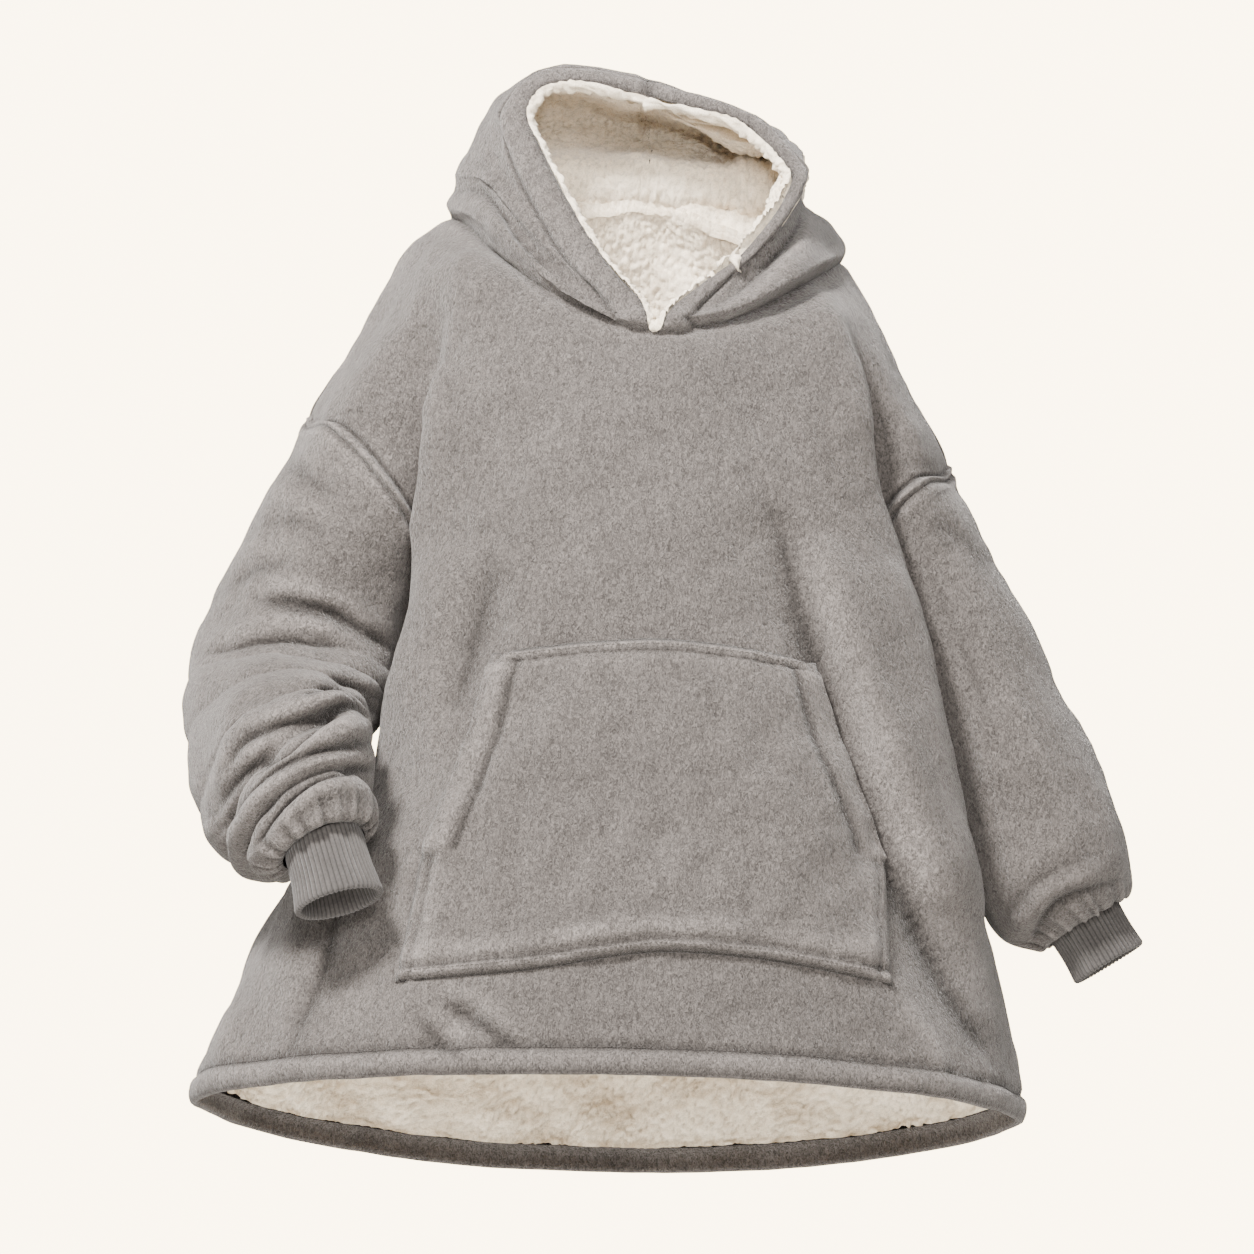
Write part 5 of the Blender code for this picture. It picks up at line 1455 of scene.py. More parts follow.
def pocket_grid(sizes):
    """The pocket's outer points, standing off the folded front, and their stitch distances."""
    heights, lefts, rights = np.array(POCKET_SIDES).T
    foot = np.array(POCKET_FOOT)
    top = np.array(POCKET_TOP)
    t = np.linspace(0.0, 1.0, 88)[:, None]
    s = np.linspace(0.0, 1.0, 116)[None, :]
    left = np.interp(t, heights, lefts)
    right = np.interp(t, heights, rights)
    x = left + (right - left) * s
    low = spline(foot[:, 0], foot[:, 1], (foot[0, 0] + (foot[-1, 0] - foot[0, 0]) * s).ravel())
    high = spline(top[:, 0], top[:, 1], (top[0, 0] + (top[-1, 0] - top[0, 0]) * s).ravel())
    z = low[None, :] + (high - low)[None, :] * t
    seats = seated(cloth(sizes)["front_panel"][2], x * CM, z * CM)
    normals = smoothed(grid_normals(seats), 8)
    if normals[..., 1].mean() > 0:
        normals = -normals
    slope = np.cos(math.atan2(*POCKET_SLANT))
    edges = {
        "foot": np.broadcast_to((z - low[None, :]) * CM, x.shape),
        "top": (high[None, :] - z) * CM,
        "left": (x - left) * CM * slope,
        "right": (right - x) * CM * slope,
    }
    foot_end, top_end = POCKET_OPEN
    opening = np.clip((t - foot_end) / 0.05, 0.0, 1.0) * np.clip((top_end - t) / 0.03, 0.0, 1.0)
    open_side = np.broadcast_to(opening, x.shape)
    sewn = np.minimum(edges["foot"], edges["top"])
    side = np.minimum(edges["left"], edges["right"])
    sewn = np.minimum(sewn, np.where(open_side > 0.5, 1.0, side))
    rise = 1.0 - np.exp(-sewn / 0.004)
    stand = 0.0014 + (POCKET_GAP + FLEECE + 0.001) * rise + 0.003 * open_side * bump(side, 0.02)
    for edge, wide in ((edges["top"], POCKET_TOP_HEM), (edges["foot"], POCKET_FOOT_HEM)):
        stand = stand + sizes.pocket_puff * np.sin(math.pi * np.clip(edge / (wide * CM), 0.0, 1.0))
    stand = stand + 0.7 * sizes.pocket_puff * open_side * np.sin(math.pi * np.clip(side / 0.027, 0.0, 1.0))
    stand = stand + 0.001 * unevenness(seats, 0.06, 41) * rise
    stand = stand + stitched(edges["top"], POCKET_TOP_HEM * CM, x * CM, sizes)
    stand = stand + stitched(edges["foot"], POCKET_FOOT_HEM * CM, x * CM, sizes)
    upper = open_side > 0.5
    for name in ("left", "right"):
        stand = stand + stitched(edges[name], POCKET_SIDE_HEM * CM, z * CM, sizes) * upper
        stand = stand + stitched(edges[name], POCKET_FOOT_HEM * CM, z * CM, sizes) * ~upper
    fold = bump(edges["foot"] - 0.024, 0.012) * 0.0022
    stand = stand + fold * (1 + 0.5 * unevenness(seats, 0.09, 43))
    return seats, normals, stand, open_side


def seated(front, x, z):
    """Points of the folded front straight behind places seen from the front."""
    tree = tree_of([front])
    seats = np.empty(x.shape + (3,))
    for place in np.ndindex(x.shape):
        hit = tree.ray_cast((x[place], -1.0, z[place]), (0.0, 1.0, 0.0))[0]
        if hit is None:
            raise RuntimeError("the pocket reaches past the front")
        seats[place] = hit
    return seats


def make_pocket(sizes, material):
    """The pocket, its sewn edges down on the front and its slanted sides open."""
    seats, normals, stand, _ = pocket_grid(sizes)
    # The pocket's hems and grooves, kept to paint shade into troughs and highlight onto raised cloth
    painted_fold_shade = np.pad(painted_fold_shade_share(stand - 0.001 * unevenness(seats, 0.06, 41)), 3, mode="edge")
    grids = [seats + normals * stand[..., None], normals, stand]
    for side in range(4):
        if side == 2:
            grids = [np.swapaxes(grid, 0, 1) for grid in grids]
        grids = [grid[::-1] for grid in skirt(*grids)]
    points, normals, _ = grids
    flip = faces_in(points, normals)
    piece = grid_piece("pocket_cloth", points, material, values={"painted_fold_shade": painted_fold_shade.T}, flip=flip)
    wear(piece, ["pocket"])
    return piece


def skirt(points, normals, stand):
    """A grid with rows that round its first edge off and take it down to the front."""
    out = points[0] - points[3]
    out = out / np.linalg.norm(out, axis=1, keepdims=True)
    drop = np.maximum(stand[0] - 0.0006, 0.0006)[:, None]
    steps = ((0.2, 1.0), (1.0, 0.75), (0.75, 0.3))
    rows = [points[0] + out * wide * POCKET_EDGE - normals[0] * drop * deep for wide, deep in steps]
    points = np.concatenate((rows, points))
    normals = np.concatenate((np.repeat(normals[:1], 3, axis=0), normals))
    stand = np.concatenate((np.zeros((3, stand.shape[1])) + 0.0012, stand))
    return points, normals, stand


def make_cuff(side, sizes, material):
    """A ribbed cuff: a plain turned tube whose ribs a node tree raises."""
    table = CUFF_LEFT if side == "left" else CUFF_RIGHT
    turns = np.arange(sizes.ribs * 8) * 2 * math.pi / (sizes.ribs * 8)
    top, end = (ring_section(row, turns) for row in table)
    down = end.mean(axis=0) - top.mean(axis=0)
    down = down / np.linalg.norm(down)
    rings = [top - down * CUFF_INSIDE]
    for share in np.linspace(0.0, 1.0, 8):
        waist = 1.0 - CUFF_WAIST * math.sin(math.pi * share)
        ring = top + (end - top) * share
        rings.append(ring.mean(axis=0) + (ring - ring.mean(axis=0)) * waist)
    outer = np.array(rings)
    away = outer - outer.mean(axis=1, keepdims=True)
    away = away / np.linalg.norm(away, axis=2, keepdims=True)
    points = list(outer)
    aways = list(away)
    firm = [0.0] + [1.0] * (len(outer) - 1)
    for step in range(1, TURN_STEPS):
        turn = math.pi * step / TURN_STEPS
        inward = away[-1] * CUFF_BEAD * (1 - math.cos(turn))
        points.append(outer[-1] + down * CUFF_BEAD * math.sin(turn) - inward)
        aways.append(away[-1] * math.cos(turn) + down * math.sin(turn))
        firm.append(0.7)
    for ring, way in zip(outer[::-1][:8], away[::-1][:8]):
        points.append(ring - way * 2 * CUFF_BEAD)
        aways.append(-way)
        firm.append(0.6)
    points = np.array(points)
    plain = grid_piece("cuff_" + side + "_plain", points, material, wrap=True)
    attribute(plain, "away", np.array(aways))
    attribute(plain, "turn", np.tile(turns, (len(points), 1)))
    attribute(plain, "firm", np.tile(np.array(firm)[:, None], (1, len(turns))))
    inputs = {"Ribs": float(sizes.ribs), "Rib height": sizes.rib_height}
    piece = grown(plain, rib_tree(material), inputs, "cuff_" + side + "_rib")
    wear(piece, ["cuff_" + side])
    return piece


def attribute(piece, name, numbers):
    """Keep numbers or directions on a piece's points."""
    kind = "FLOAT_VECTOR" if numbers.ndim == 3 else "FLOAT"
    layer = piece.data.attributes.new(name, kind, "POINT")
    layer.data.foreach_set("vector" if numbers.ndim == 3 else "value", numbers.ravel())


def tree_with(name, inputs):
    """An empty geometry tree with named number inputs, and its two ends."""
    tree = bpy.data.node_groups.new(name, "GeometryNodeTree")
    tree.interface.new_socket("Geometry", in_out="INPUT", socket_type="NodeSocketGeometry")
    tree.interface.new_socket("Geometry", in_out="OUTPUT", socket_type="NodeSocketGeometry")
    for label in inputs:
        tree.interface.new_socket(label, in_out="INPUT", socket_type="NodeSocketFloat")
    return tree, tree.nodes.new("NodeGroupInput"), tree.nodes.new("NodeGroupOutput")


def named(tree, attribute_name, kind):
    """A node that reads a named attribute."""
    node = tree.nodes.new("GeometryNodeInputNamedAttribute")
    node.data_type = kind
    node.inputs["Name"].default_value = attribute_name
    return node.outputs["Attribute"]


def maths(tree, operation, *values):
    """A math node on sockets or numbers, as its output."""
    node = tree.nodes.new("ShaderNodeMath")
    node.operation = operation
    for slot, value in zip(node.inputs, values):
        if isinstance(value, float):
            slot.default_value = value
        else:
            tree.links.new(value, slot)
    return node.outputs[0]


def rib_tree(material):
    """Node tree that raises even ribs round a tube."""
    tree, start, end = tree_with("Cuff ribs", ("Ribs", "Rib height"))
    turns = maths(tree, "MULTIPLY", named(tree, "turn", "FLOAT"), start.outputs["Ribs"])
    wave = maths(tree, "COSINE", turns)
    rib = maths(tree, "POWER", maths(tree, "MULTIPLY_ADD", wave, 0.5, 0.5), 0.7)
    firm = maths(tree, "MULTIPLY", start.outputs["Rib height"], named(tree, "firm", "FLOAT"))
    high = maths(tree, "MULTIPLY", rib, firm)
    scale = tree.nodes.new("ShaderNodeVectorMath")
    scale.operation = "SCALE"
    tree.links.new(named(tree, "away", "FLOAT_VECTOR"), scale.inputs[0])
    tree.links.new(high, scale.inputs["Scale"])
    move = tree.nodes.new("GeometryNodeSetPosition")
    # The rib's height is kept for the painted shade in the grooves and the painted highlight on the tops
    keep = tree.nodes.new("GeometryNodeStoreNamedAttribute")
    keep.data_type = "FLOAT"
    keep.inputs["Name"].default_value = "rib"
    tree.links.new(start.outputs["Geometry"], keep.inputs["Geometry"])
    tree.links.new(rib, keep.inputs["Value"])
    tree.links.new(keep.outputs["Geometry"], move.inputs["Geometry"])
    tree.links.new(scale.outputs[0], move.inputs["Offset"])
    finished(tree, move.outputs["Geometry"], end, material)
    return tree


def finished(tree, geometry, end, material):
    """Close a tree with Realize Instances and Set Material."""
    real = tree.nodes.new("GeometryNodeRealizeInstances")
    paint = tree.nodes.new("GeometryNodeSetMaterial")
    paint.inputs["Material"].default_value = material
    tree.links.new(geometry, real.inputs["Geometry"])
    tree.links.new(real.outputs["Geometry"], paint.inputs["Geometry"])
    tree.links.new(paint.outputs["Geometry"], end.inputs["Geometry"])


def grown(plain, tree, inputs, name):
    """The plain mesh that a node tree grows from a piece, under a new name."""
    modifier = plain.modifiers.new("Grow", "NODES")
    modifier.node_group = tree
    for item in tree.interface.items_tree:
        if item.in_out == "INPUT" and item.name in inputs:
            modifier[item.identifier] = inputs[item.name]
    evaluated = plain.evaluated_get(bpy.context.evaluated_depsgraph_get())
    mesh = bpy.data.meshes.new_from_object(evaluated)
    plain.modifiers.remove(modifier)
    bpy.data.objects.remove(plain, do_unlink=True)
    mesh.name = name
    mesh.shade_smooth()
    return linked(name, mesh)


def stitch_tree(material):
    """Node tree that lays one stitch along each point's run."""
    tree, start, end = tree_with("Stitches", ("Length", "Width", "Height"))
    ball = tree.nodes.new("GeometryNodeMeshUVSphere")
    ball.inputs["Segments"].default_value = 6
    ball.inputs["Rings"].default_value = 4
    ball.inputs["Radius"].default_value = 0.5
    size = tree.nodes.new("ShaderNodeCombineXYZ")
    for slot, label in zip(size.inputs, ("Length", "Width", "Height")):
        tree.links.new(start.outputs[label], slot)
    shape = tree.nodes.new("GeometryNodeTransform")
    tree.links.new(ball.outputs["Mesh"], shape.inputs["Geometry"])
    tree.links.new(size.outputs[0], shape.inputs["Scale"])
    along = tree.nodes.new("FunctionNodeAlignRotationToVector")
    along.axis = "X"
    tree.links.new(named(tree, "run", "FLOAT_VECTOR"), along.inputs["Vector"])
    upright = tree.nodes.new("FunctionNodeAlignRotationToVector")
    upright.axis = "Z"
    upright.pivot_axis = "X"
    tree.links.new(along.outputs[0], upright.inputs["Rotation"])
    tree.links.new(named(tree, "away", "FLOAT_VECTOR"), upright.inputs["Vector"])
    dots = tree.nodes.new("GeometryNodeMeshToPoints")
    lay = tree.nodes.new("GeometryNodeInstanceOnPoints")
    tree.links.new(start.outputs["Geometry"], dots.inputs["Mesh"])
    tree.links.new(dots.outputs[0], lay.inputs["Points"])
    tree.links.new(shape.outputs["Geometry"], lay.inputs["Instance"])
    tree.links.new(upright.outputs[0], lay.inputs["Rotation"])
    finished(tree, lay.outputs["Instances"], end, material)
    return tree


def sewn_path(line, normals, sizes):
    """Middles, runs and normals of the stitches along a line."""
    along = lengths(line)
    count = int(along[-1] / sizes.stitch_pitch)
    at = (np.arange(count) + 0.5) * along[-1] / count
    step = 0.4 * sizes.stitch_pitch
    run = read_along(line, along, at + step) - read_along(line, along, at - step)
    return read_along(line, along, at), run, read_along(normals, along, at)


def line_at(points, normals, distances, place):
    """The line on a grid at one distance from its first row."""
    line, away = [], []
    for c in range(points.shape[1]):
        line.append([np.interp(place, distances[:, c], points[:, c, k]) for k in range(3)])
        away.append([np.interp(place, distances[:, c], normals[:, c, k]) for k in range(3)])
    return np.array(line), np.array(away)


def stitch_lines(sizes):
    """All the sewn lines that show, as lines of points with normals."""
    shells = cloth(sizes)
    lines = []
    for name in ("front_panel", "back_panel"):
        plain, normals, folded, _ = shells[name]
        lines.append(line_at(folded, normals, along_rows(plain), HEM_FACING * CM))
    seam = HOOD_SPANS[0] * DETAIL
    for name in ("hood_left", "hood_right"):
        lines.append((shells[name][2][:, seam], shells[name][1][:, seam]))
    seats, normals, stand, open_side = pocket_grid(sizes)
    points = seats + normals * stand[..., None]
    for place in (POCKET_TOP_HEM, POCKET_FOOT_HEM):
        grid, ways = (points[::-1], normals[::-1]) if place == POCKET_TOP_HEM else (points, normals)
        line, away = line_at(grid, ways, along_rows(grid), place * CM)
        lines.append((line[3:-3], away[3:-3]))
    upper = open_side[:, 0] > 0.5
    for flipped in (False, True):
        grid, ways = points.transpose(1, 0, 2), normals.transpose(1, 0, 2)
        if flipped:
            grid, ways = grid[::-1], ways[::-1]
        across = along_rows(grid)
        line, away = line_at(grid, ways, across, POCKET_SIDE_HEM * CM)
        lines.append((line[upper], away[upper]))
        line, away = line_at(grid, ways, across, POCKET_FOOT_HEM * CM)
        lines.append((line[~upper][2:], away[~upper][2:]))
    return lines


def make_stitches(sizes, material):
    """Every stitch, grown along the sewn lines."""
    parts = [sewn_path(line, away, sizes) for line, away in stitch_lines(sizes)]
    here, run, away = (np.concatenate(group) for group in zip(*parts))
    here = here + away * 0.0003
    mesh = bpy.data.meshes.new("stitch_places")
    mesh.from_pydata(here.tolist(), [], [])
    plain = linked("stitch_places", mesh)
    attribute(plain, "run", run[None])
    attribute(plain, "away", away[None])
    inputs = {"Length": sizes.stitch_length, "Width": sizes.thread, "Height": 0.8 * sizes.thread}
    piece = grown(plain, stitch_tree(material), inputs, "stitching")
    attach(piece, "root")
    return piece


def shaded(colour, factor):
    """A colour made lighter or darker."""
    return tuple(min(1.0, part * factor) for part in colour)


def greys(*stops):
    """Places and levels of grey, as places and colours."""
    return [(place, (level,) * 3) for place, level in stops]


class Paint:
    """A new material, and the nodes that are added to it."""

    def __init__(self, name, **finish):
        self.material = bpy.data.materials.new(name)
        self.material.use_nodes = True
        self.tree = self.material.node_tree
        self.surface = self.tree.nodes["Principled BSDF"]
        for label, value in finish.items():
            self.surface.inputs[label.replace("_", " ")].default_value = value
        self.place = self.tree.nodes.new("ShaderNodeTexCoord").outputs["Object"]

    def node(self, kind, **inputs):
        """A new node, its inputs linked to outputs or set to values."""
        node = self.tree.nodes.new("ShaderNode" + kind)
        for label, value in inputs.items():
            if isinstance(value, bpy.types.NodeSocket):
                self.tree.links.new(value, node.inputs[label])
            else:
                node.inputs[label].default_value = value
        return node

    def noted(self, name):
        """The value that a piece keeps on its points under a name."""
        node = self.node("Attribute")
        node.attribute_name = name
        return node.outputs["Fac"]

    def noise(self, scale, detail=2.0, distortion=0.0, stretch=None):
        """Noise over the piece, as a factor."""
        place = self.place
        if stretch:
            place = self.node("Mapping", Vector=place, Scale=stretch).outputs["Vector"]
        texture = self.node("TexNoise", Vector=place, Scale=scale, Detail=detail, Distortion=distortion)
        return texture.outputs["Fac"]

    def ramp(self, factor, stops):
        """Colours along a factor."""
        colours = self.node("ValToRGB", Fac=factor)
        elements = colours.color_ramp.elements
        while len(elements) < len(stops):
            elements.new(0.5)
        for element, (place, colour) in zip(elements, stops):
            element.position = place
            element.color = (*colour, 1.0)
        return colours.outputs["Color"]

    def times(self, first, second, share=1.0):
        """Two colours multiplied, by a share."""
        mix = self.node("Mix")
        mix.data_type = "RGBA"
        mix.blend_type = "MULTIPLY"
        mix.inputs[0].default_value = share
        self.tree.links.new(first, mix.inputs[6])
        self.tree.links.new(second, mix.inputs[7])
        return mix.outputs[2]

    def relief(self, height, distance, strength, **below):
        """Fine relief from a height, on top of another one."""
        raised = self.node("Bump", Height=height, Distance=distance, Strength=strength, **below)
        return raised.outputs["Normal"]

    def done(self, colour, normal=None):
        """The material, with its colour and its relief."""
        self.tree.links.new(colour, self.surface.inputs["Base Color"])
        if normal is not None:
            self.tree.links.new(normal, self.surface.inputs["Normal"])
        return self.material


def fleece_finish(colours):
    """Short brushed plush: mottled nap, clumps of pile, a pale sheen, painted shade in creases and
    grooves, and painted highlight on raised folds.
    """
    shine = (*colours.nap_shine, 1.0)
    finish = {"Sheen_Weight": 0.3, "Sheen_Roughness": 0.36, "Sheen_Tint": shine}
    paint = Paint("plush_fleece", Roughness=0.95, Specular_IOR_Level=0.12, **finish)
    grey = tuple(colours.fleece)
    clumps = paint.noise(190.0, 2.0, 1.0, (1.0, 1.0, 0.6))
    hairs = paint.noise(430.0, 3.0, 1.6, (1.0, 1.0, 0.6))
    stops = ((0.36, shaded(grey, 0.94)), (0.52, grey), (0.66, shaded(grey, 1.06)))
    colour = paint.ramp(paint.noise(8.0, 2.0, 0.6), stops)
    # Painted shade darkens the plush in creases and seam grooves, and painted highlight lightens it on
    # raised folds and bands
    painted_fold_shade = maths(paint.tree, "MULTIPLY_ADD", paint.noted("painted_fold_shade"), 0.5, 0.5)
    for factor, stops in (
        (painted_fold_shade, greys((0.0, 0.42), (0.42, 0.94), (0.52, 1.0), (1.0, 1.6))),
        (clumps, greys((0.36, 0.9), (0.5, 1.0), (0.66, 1.1))),
        (hairs, greys((0.36, 0.54), (0.64, 1.42))),
    ):
        colour = paint.times(colour, paint.ramp(factor, stops))
    normal = paint.relief(hairs, 0.0020, 1.0, Normal=paint.relief(clumps, 0.0030, 0.7))
    return paint.done(colour, normal)


def sherpa_finish(colours):
    """Curly pile: cream tufts, with painted shade between them and in the hollows of their curls."""
    finish = {"Sheen_Weight": 0.35, "Sheen_Roughness": 0.5}
    paint = Paint("sherpa_pile", Roughness=0.95, Specular_IOR_Level=0.1, **finish)
    cream = tuple(colours.sherpa)
    painted_hollow_shade = tuple(colours.sherpa_painted_shade)
    curls = paint.noise(330.0, 3.0, 2.2)
    # Painted shade: the lower the pile between the tufts, the darker and browner the colour
    stops = ((0.0, painted_hollow_shade), (0.25, shaded(cream, 0.82)), (0.5, cream), (1.0, shaded(cream, 1.04)))
    colour = paint.ramp(paint.noted("pile"), stops)
    warm = paint.ramp(paint.noise(22.0, 2.0, 0.4), ((0.35, (0.95, 0.94, 0.92)), (0.65, (1.03,) * 3)))
    # Painted shade in the hollows of the curls, where the same noise sinks the relief
    curl_painted_shade = paint.ramp(curls, ((0.34, (0.74, 0.68, 0.60)), (0.56, (1.04,) * 3)))
    colour = paint.times(paint.times(colour, warm), curl_painted_shade, 0.7)
    return paint.done(colour, paint.relief(curls, 0.0016, 0.7))


def rib_finish(colours):
    """Ribbed knit: fine loops on the ribs, painted shade in the grooves between them and painted highlight
    on their tops.
    """
    finish = {"Sheen_Weight": 0.35, "Sheen_Roughness": 0.5}
    paint = Paint("rib_knit", Roughness=0.9, Specular_IOR_Level=0.15, **finish)
    grey = tuple(colours.rib)
    loops = paint.noise(520.0, 2.0, 0.4, (1.0, 1.0, 0.7))
    # Painted shade in the grooves between the ribs, painted highlight on their tops
    stops = ((0.0, shaded(grey, 0.5)), (0.5, grey), (1.0, shaded(grey, 1.15)))
    colour = paint.ramp(paint.noted("rib"), stops)
    colour = paint.times(colour, paint.ramp(loops, greys((0.3, 0.78), (0.7, 1.14))))
    worn = paint.ramp(paint.noise(40.0, 2.0, 0.4), greys((0.35, 0.9), (0.65, 1.08)))
    return paint.done(paint.times(colour, worn), paint.relief(loops, 0.0006, 0.6))


def thread_finish(colours):
    """Matt sewing thread with its twist."""
    paint = Paint("sewing_thread", Roughness=0.8, Specular_IOR_Level=0.2)
    twist = paint.noise(900.0, 1.0, 0.5)
    thread = tuple(colours.thread)
    colour = paint.ramp(twist, ((0.35, shaded(thread, 0.8)), (0.65, shaded(thread, 1.15))))
    return paint.done(colour, paint.relief(twist, 0.0003, 0.5))


def floor_finish(colours):
    """Pale matt floor with a trace of unevenness."""
    paint = Paint("pale_floor", Roughness=0.9)
    pale = tuple(colours.floor)
    return paint.done(paint.ramp(paint.noise(1.5), ((0.3, shaded(pale, 0.985)), (0.7, pale))))


FINISHES = {
    "fleece": fleece_finish,
    "sherpa": sherpa_finish,
    "rib": rib_finish,
    "thread": thread_finish,
    "floor": floor_finish,
}


def finish_for(context, name):
    """The material of a finish, made once."""
    if name not in _finishes:
        _finishes[name] = FINISHES[name](context.scene.hoodie_colours)
    return _finishes[name]


def length_value(name, description, default):
    """A length property in metres."""
    return bpy.props.FloatProperty(
        name=name, description=description, default=default, min=0.0, precision=4, unit="LENGTH"
    )


def colour_value(name, description, default):
    """A colour property."""
    return bpy.props.FloatVectorProperty(
        name=name, description=description, default=default, min=0.0, max=1.0, subtype="COLOR"
    )


class HoodieSizes(bpy.types.PropertyGroup):
    swell: length_value("Plush swell", "Height of the plush's soft unevenness", 0.0017)
    seam_depth: length_value("Seam depth", "How deep a seam or sewn line draws the cloth in", 0.0030)
    pucker: length_value("Pucker", "Length of the small puckers along a sewn line", 0.012)
    armhole_band: length_value("Armhole band", "Height of the raised band beside an armhole seam", 0.0042)
    rim_puff: length_value("Rim puff", "Height of the hood rim between its edge and stitches", 0.0040)
    pocket_puff: length_value("Pocket hem puff", "Height of the pocket's hems above the rest", 0.0028)
    hem_puff: length_value("Hem puff", "Height of the turned hem above its stitches", 0.0028)
    rim_turn: length_value("Rim turn", "Radius of the hood's turned rim", 0.0028)
    rim_bead: length_value("Rim bead", "Radius of the lining's pile where it rolls past the rim", 0.0042)
    hem_turn: length_value("Hem turn", "Radius of the turned hem", 0.0040)
    tuft_size: length_value("Tuft size", "Width of one curly tuft of the lining", 0.0085)
    tuft_height: length_value("Tuft height", "Height of one tuft of the lining", 0.0046)
    stitch_pitch: length_value("Stitch pitch", "Distance from one stitch to the next", 0.0046)
    stitch_length: length_value("Stitch length", "Length of one stitch", 0.0034)
    thread: length_value("Thread", "Width of the sewing thread", 0.0008)
    rib_height: length_value("Rib height", "Height of one rib of the cuffs", 0.0014)
    ribs: bpy.props.IntProperty(name="Ribs", description="Ribs round one cuff", default=50, min=8, max=120)


class HoodieColours(bpy.types.PropertyGroup):
    fleece: colour_value("Fleece", "Colour of the plush shell", (0.100, 0.088, 0.081))
    nap_shine: colour_value("Nap shine", "Tint where the plush's nap catches light", (0.95, 0.92, 0.89))
    sherpa: colour_value("Sherpa", "Colour of the lining's tufts", (0.95, 0.835, 0.675))
    # The painted shade between the lining's tufts
    sherpa_painted_shade: colour_value("Sherpa shade", "Colour between the lining's tufts", (0.62, 0.49, 0.36))
    rib: colour_value("Rib", "Colour of the ribbed cuffs", (0.066, 0.059, 0.055))
    thread: colour_value("Thread", "Colour of the sewing thread", (0.085, 0.075, 0.069))
    floor: colour_value("Floor", "Colour of the floor", (0.90, 0.89, 0.86))
    backdrop: colour_value("Backdrop", "Colour behind the hoodie", (1.0, 0.83, 0.56))


class BuildPart:
    """What every building operator shares."""

    bl_options = {"REGISTER", "UNDO"}

    def execute(self, context):
        self.make(context, context.scene.hoodie_sizes)
        return {"FINISHED"}


def shell_piece(context, name, points, painted_fold_shade, flip, wrap=False):
    """A finished shell in the place of its solid."""
    material = finish_for(context, "fleece")
    # The values that paint shade and highlight into the plush's colour
    piece = grid_piece(name + "_cloth", points, material, wrap, {"painted_fold_shade": painted_fold_shade}, flip)
    wear(piece, [name])
    return piece


class HOODIE_OT_body(BuildPart, bpy.types.Operator):
    """Build the front and the back, each with its turned and faced hem"""

    bl_idname = "hoodie.body"
    bl_label = "Front and back"

    def make(self, context, sizes):
        for name in ("front_panel", "back_panel"):
            _, normals, points, _ = cloth(sizes)[name]
            runs = int(np.argmax(along_rows(points)[:, 0] > HEM_FACING * CM))
            flip = faces_in(points, normals)
            points = turned_edge(points, normals, sizes.hem_turn, runs)
            piece = shell_piece(context, name, points, with_turn(_painted_fold_shades[name], len(points)), flip)


class HOODIE_OT_sleeves(BuildPart, bpy.types.Operator):
    """Build the two sleeves, gathered at their cuffs"""

    bl_idname = "hoodie.sleeves"
    bl_label = "Sleeves"

    def make(self, context, sizes):
        for name in ("sleeve_left", "sleeve_right"):
            _, normals, points, _ = cloth(sizes)[name]
            flip = faces_in(points, normals, True)
            piece = shell_piece(context, name, points, _painted_fold_shades[name], flip, wrap=True)


class HOODIE_OT_hood(BuildPart, bpy.types.Operator):
    """Build the two hood halves, each with its rolled and stitched rim"""

    bl_idname = "hoodie.hood"
    bl_label = "Hood"

    def make(self, context, sizes):
        for name in ("hood_left", "hood_right"):
            _, normals, points, _ = cloth(sizes)[name]
            flip = faces_in(points, normals)
            turned = turned_edge(points.transpose(1, 0, 2), normals.transpose(1, 0, 2), sizes.rim_turn, 5)
            points = turned.transpose(1, 0, 2)
            piece = shell_piece(context, name, points, with_turn(_painted_fold_shades[name].T, len(turned)).T, flip)


class HOODIE_OT_linings(BuildPart, bpy.types.Operator):
    """Build the sherpa linings of the front, the back and the hood"""

    bl_idname = "hoodie.linings"
    bl_label = "Linings"

    def make(self, context, sizes):
        for name, (flat, area) in LINING_CUTS.items():
            piece = make_lining(name, sizes, finish_for(context, "sherpa"))


class HOODIE_OT_pocket(BuildPart, bpy.types.Operator):
    """Build the kangaroo pocket on the front"""

    bl_idname = "hoodie.pocket"
    bl_label = "Pocket"

    def make(self, context, sizes):
        piece = make_pocket(sizes, finish_for(context, "fleece"))


class HOODIE_OT_cuffs(BuildPart, bpy.types.Operator):
    """Build the two ribbed cuffs"""

    bl_idname = "hoodie.cuffs"
    bl_label = "Cuffs"

    def make(self, context, sizes):
        for side in ("left", "right"):
            piece = make_cuff(side, sizes, finish_for(context, "rib"))


class HOODIE_OT_stitches(BuildPart, bpy.types.Operator):
    """Sew the stitches of the rim, the hem and the pocket"""

    bl_idname = "hoodie.stitches"
    bl_label = "Stitches"

    def make(self, context, sizes):
        make_stitches(sizes, finish_for(context, "thread"))


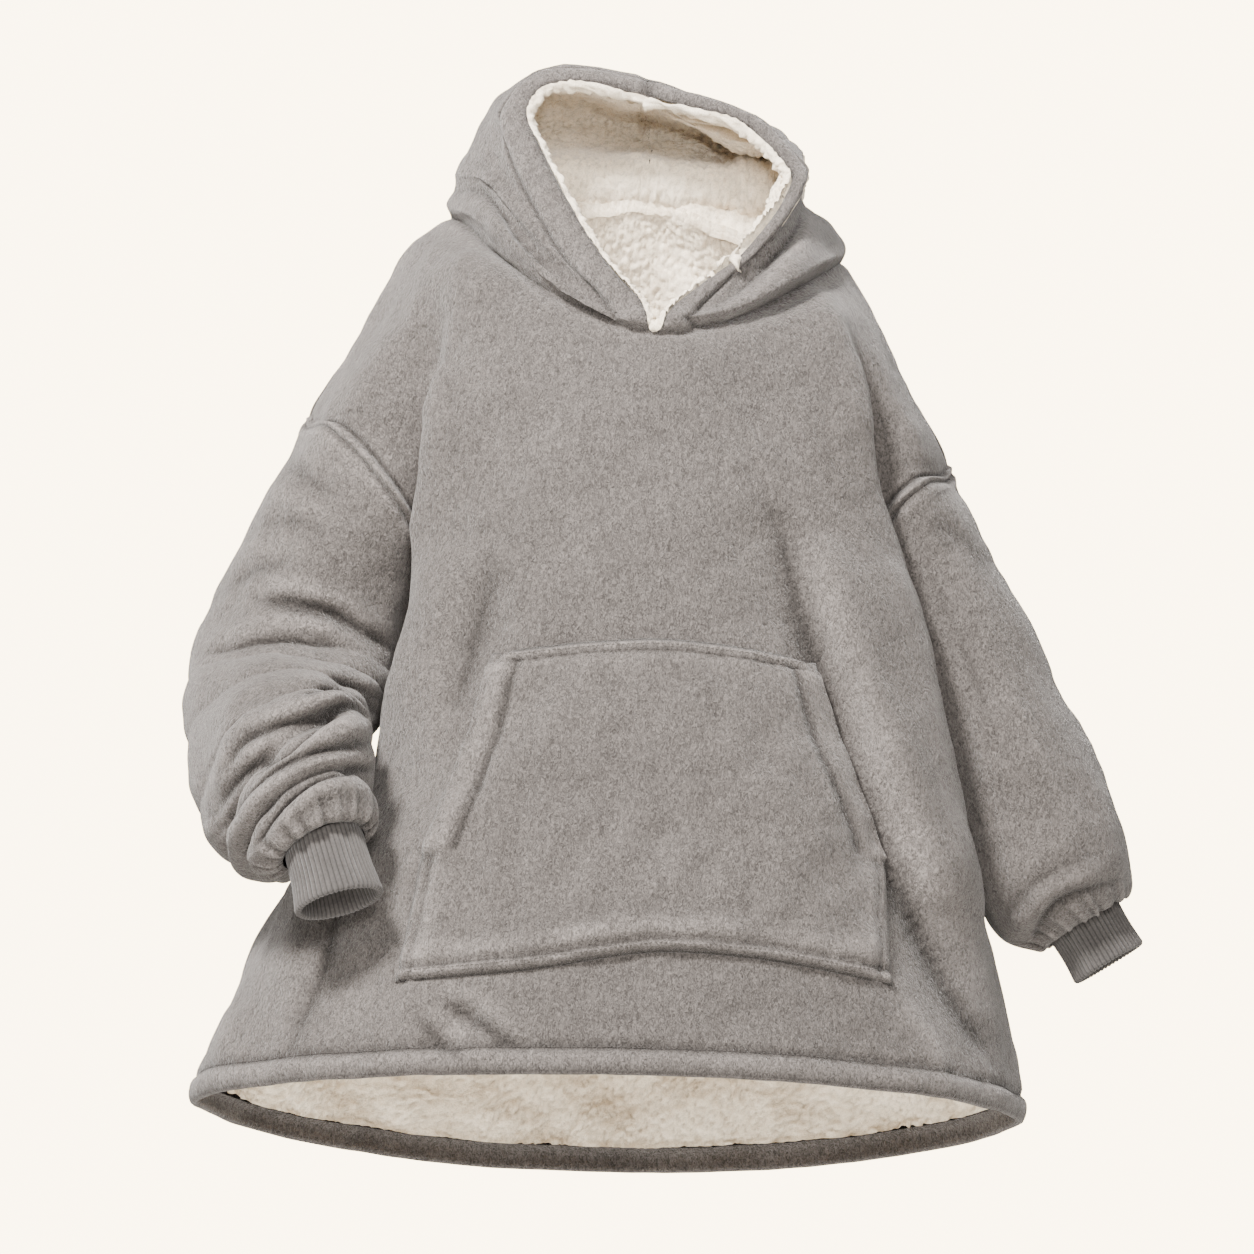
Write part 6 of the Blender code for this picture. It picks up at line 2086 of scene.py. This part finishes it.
class HOODIE_OT_stage(BuildPart, bpy.types.Operator):
    """Set up the floor, the lights and the camera"""

    bl_idname = "hoodie.stage"
    bl_label = "Stage"

    def make(self, context, sizes):
        sides = (-FLOOR_REACH, 0.0, FLOOR_REACH)
        points = np.array([[[x, y, FLOOR_HEIGHT] for x in sides] for y in sides])
        floor = grid_piece("floor", points, finish_for(context, "floor"))
        for name, place, size, power, colour in LIGHTS:
            light = add_light(name, "AREA", place, LIGHT_TARGET, power)
            light.shape = "DISK"
            light.size = size
            light.color = colour
        surround(context)
        light = add_light("hood", "SPOT", HOOD_LIGHT_PLACE, HOOD_LIGHT_TARGET, HOOD_LIGHT_POWER)
        light.spot_size = math.radians(HOOD_LIGHT_ANGLE)
        light.spot_blend = HOOD_LIGHT_BLEND
        light.shadow_soft_size = HOOD_LIGHT_SIZE
        lens = bpy.data.cameras.new("view")
        lens.sensor_width = SENSOR
        lens.lens = SENSOR * CAMERA_DISTANCE / CAMERA_WIDTH
        camera = linked("view", lens)
        camera.location = camera_axes()[0]
        camera.rotation_euler = (math.radians(90.0 + CAMERA_TILT), 0.0, 0.0)
        context.scene.camera = camera


def add_light(name, kind, place, target, power):
    """A lamp at a place, turned to a point."""
    lamp = bpy.data.lights.new(name, kind)
    lamp.energy = power
    light = linked(name, lamp)
    light.location = place
    way = np.array(target) - np.array(light.location)
    level = math.hypot(way[0], way[1])
    light.rotation_euler = (math.atan2(level, -way[2]), 0.0, math.atan2(way[0], -way[1]) + math.pi)
    return lamp


def surround(context):
    """Soft light from all round, and the pale backdrop."""
    world = bpy.data.worlds.new("pale_surround")
    world.use_nodes = True
    nodes = world.node_tree.nodes
    links = world.node_tree.links
    nodes.clear()
    rays = nodes.new("ShaderNodeLightPath")
    mix = nodes.new("ShaderNodeMixShader")
    end = nodes.new("ShaderNodeOutputWorld")
    links.new(rays.outputs["Is Camera Ray"], mix.inputs[0])
    backdrop = tuple(context.scene.hoodie_colours.backdrop)
    for slot, colour, strength in ((1, FILL_COLOUR, FILL_STRENGTH), (2, backdrop, BACKDROP_STRENGTH)):
        glow = nodes.new("ShaderNodeBackground")
        glow.inputs["Color"].default_value = (*colour, 1.0)
        glow.inputs["Strength"].default_value = strength
        links.new(glow.outputs[0], mix.inputs[slot])
    links.new(mix.outputs[0], end.inputs["Surface"])
    context.scene.world = world


class HOODIE_PT_panel(bpy.types.Panel):
    bl_idname = "HOODIE_PT_panel"
    bl_label = "Blanket hoodie"
    bl_space_type = "VIEW_3D"
    bl_region_type = "UI"
    bl_category = "Hoodie"

    def draw(self, context):
        for group in (context.scene.hoodie_sizes, context.scene.hoodie_colours):
            box = self.layout.box()
            for name in group.__annotations__:
                box.prop(group, name)
        for part in PARTS:
            self.layout.operator(part.bl_idname)


PARTS = (
    HOODIE_OT_body,
    HOODIE_OT_sleeves,
    HOODIE_OT_hood,
    HOODIE_OT_linings,
    HOODIE_OT_pocket,
    HOODIE_OT_cuffs,
    HOODIE_OT_stitches,
    HOODIE_OT_stage,
)
CLASSES = (HoodieSizes, HoodieColours, *PARTS, HOODIE_PT_panel)
_cloth = {}
_creases = {}
_painted_fold_shades = {}
_linings = {}
_finishes = {}


def register():
    """Make the sizes, colours, operators and panel known."""
    for item in CLASSES:
        bpy.utils.register_class(item)
    bpy.types.Scene.hoodie_sizes = bpy.props.PointerProperty(type=HoodieSizes)
    bpy.types.Scene.hoodie_colours = bpy.props.PointerProperty(type=HoodieColours)


def unregister():
    """Take them away again."""
    del bpy.types.Scene.hoodie_colours
    del bpy.types.Scene.hoodie_sizes
    for item in reversed(CLASSES):
        bpy.utils.unregister_class(item)


def main():
    """Build the whole hoodie."""
    register()
    bpy.ops.hoodie.body()
    bpy.ops.hoodie.sleeves()
    bpy.ops.hoodie.hood()
    bpy.ops.hoodie.linings()
    bpy.ops.hoodie.pocket()
    bpy.ops.hoodie.cuffs()
    bpy.ops.hoodie.stitches()
    bpy.ops.hoodie.stage()


if __name__ == "__main__":
    main()
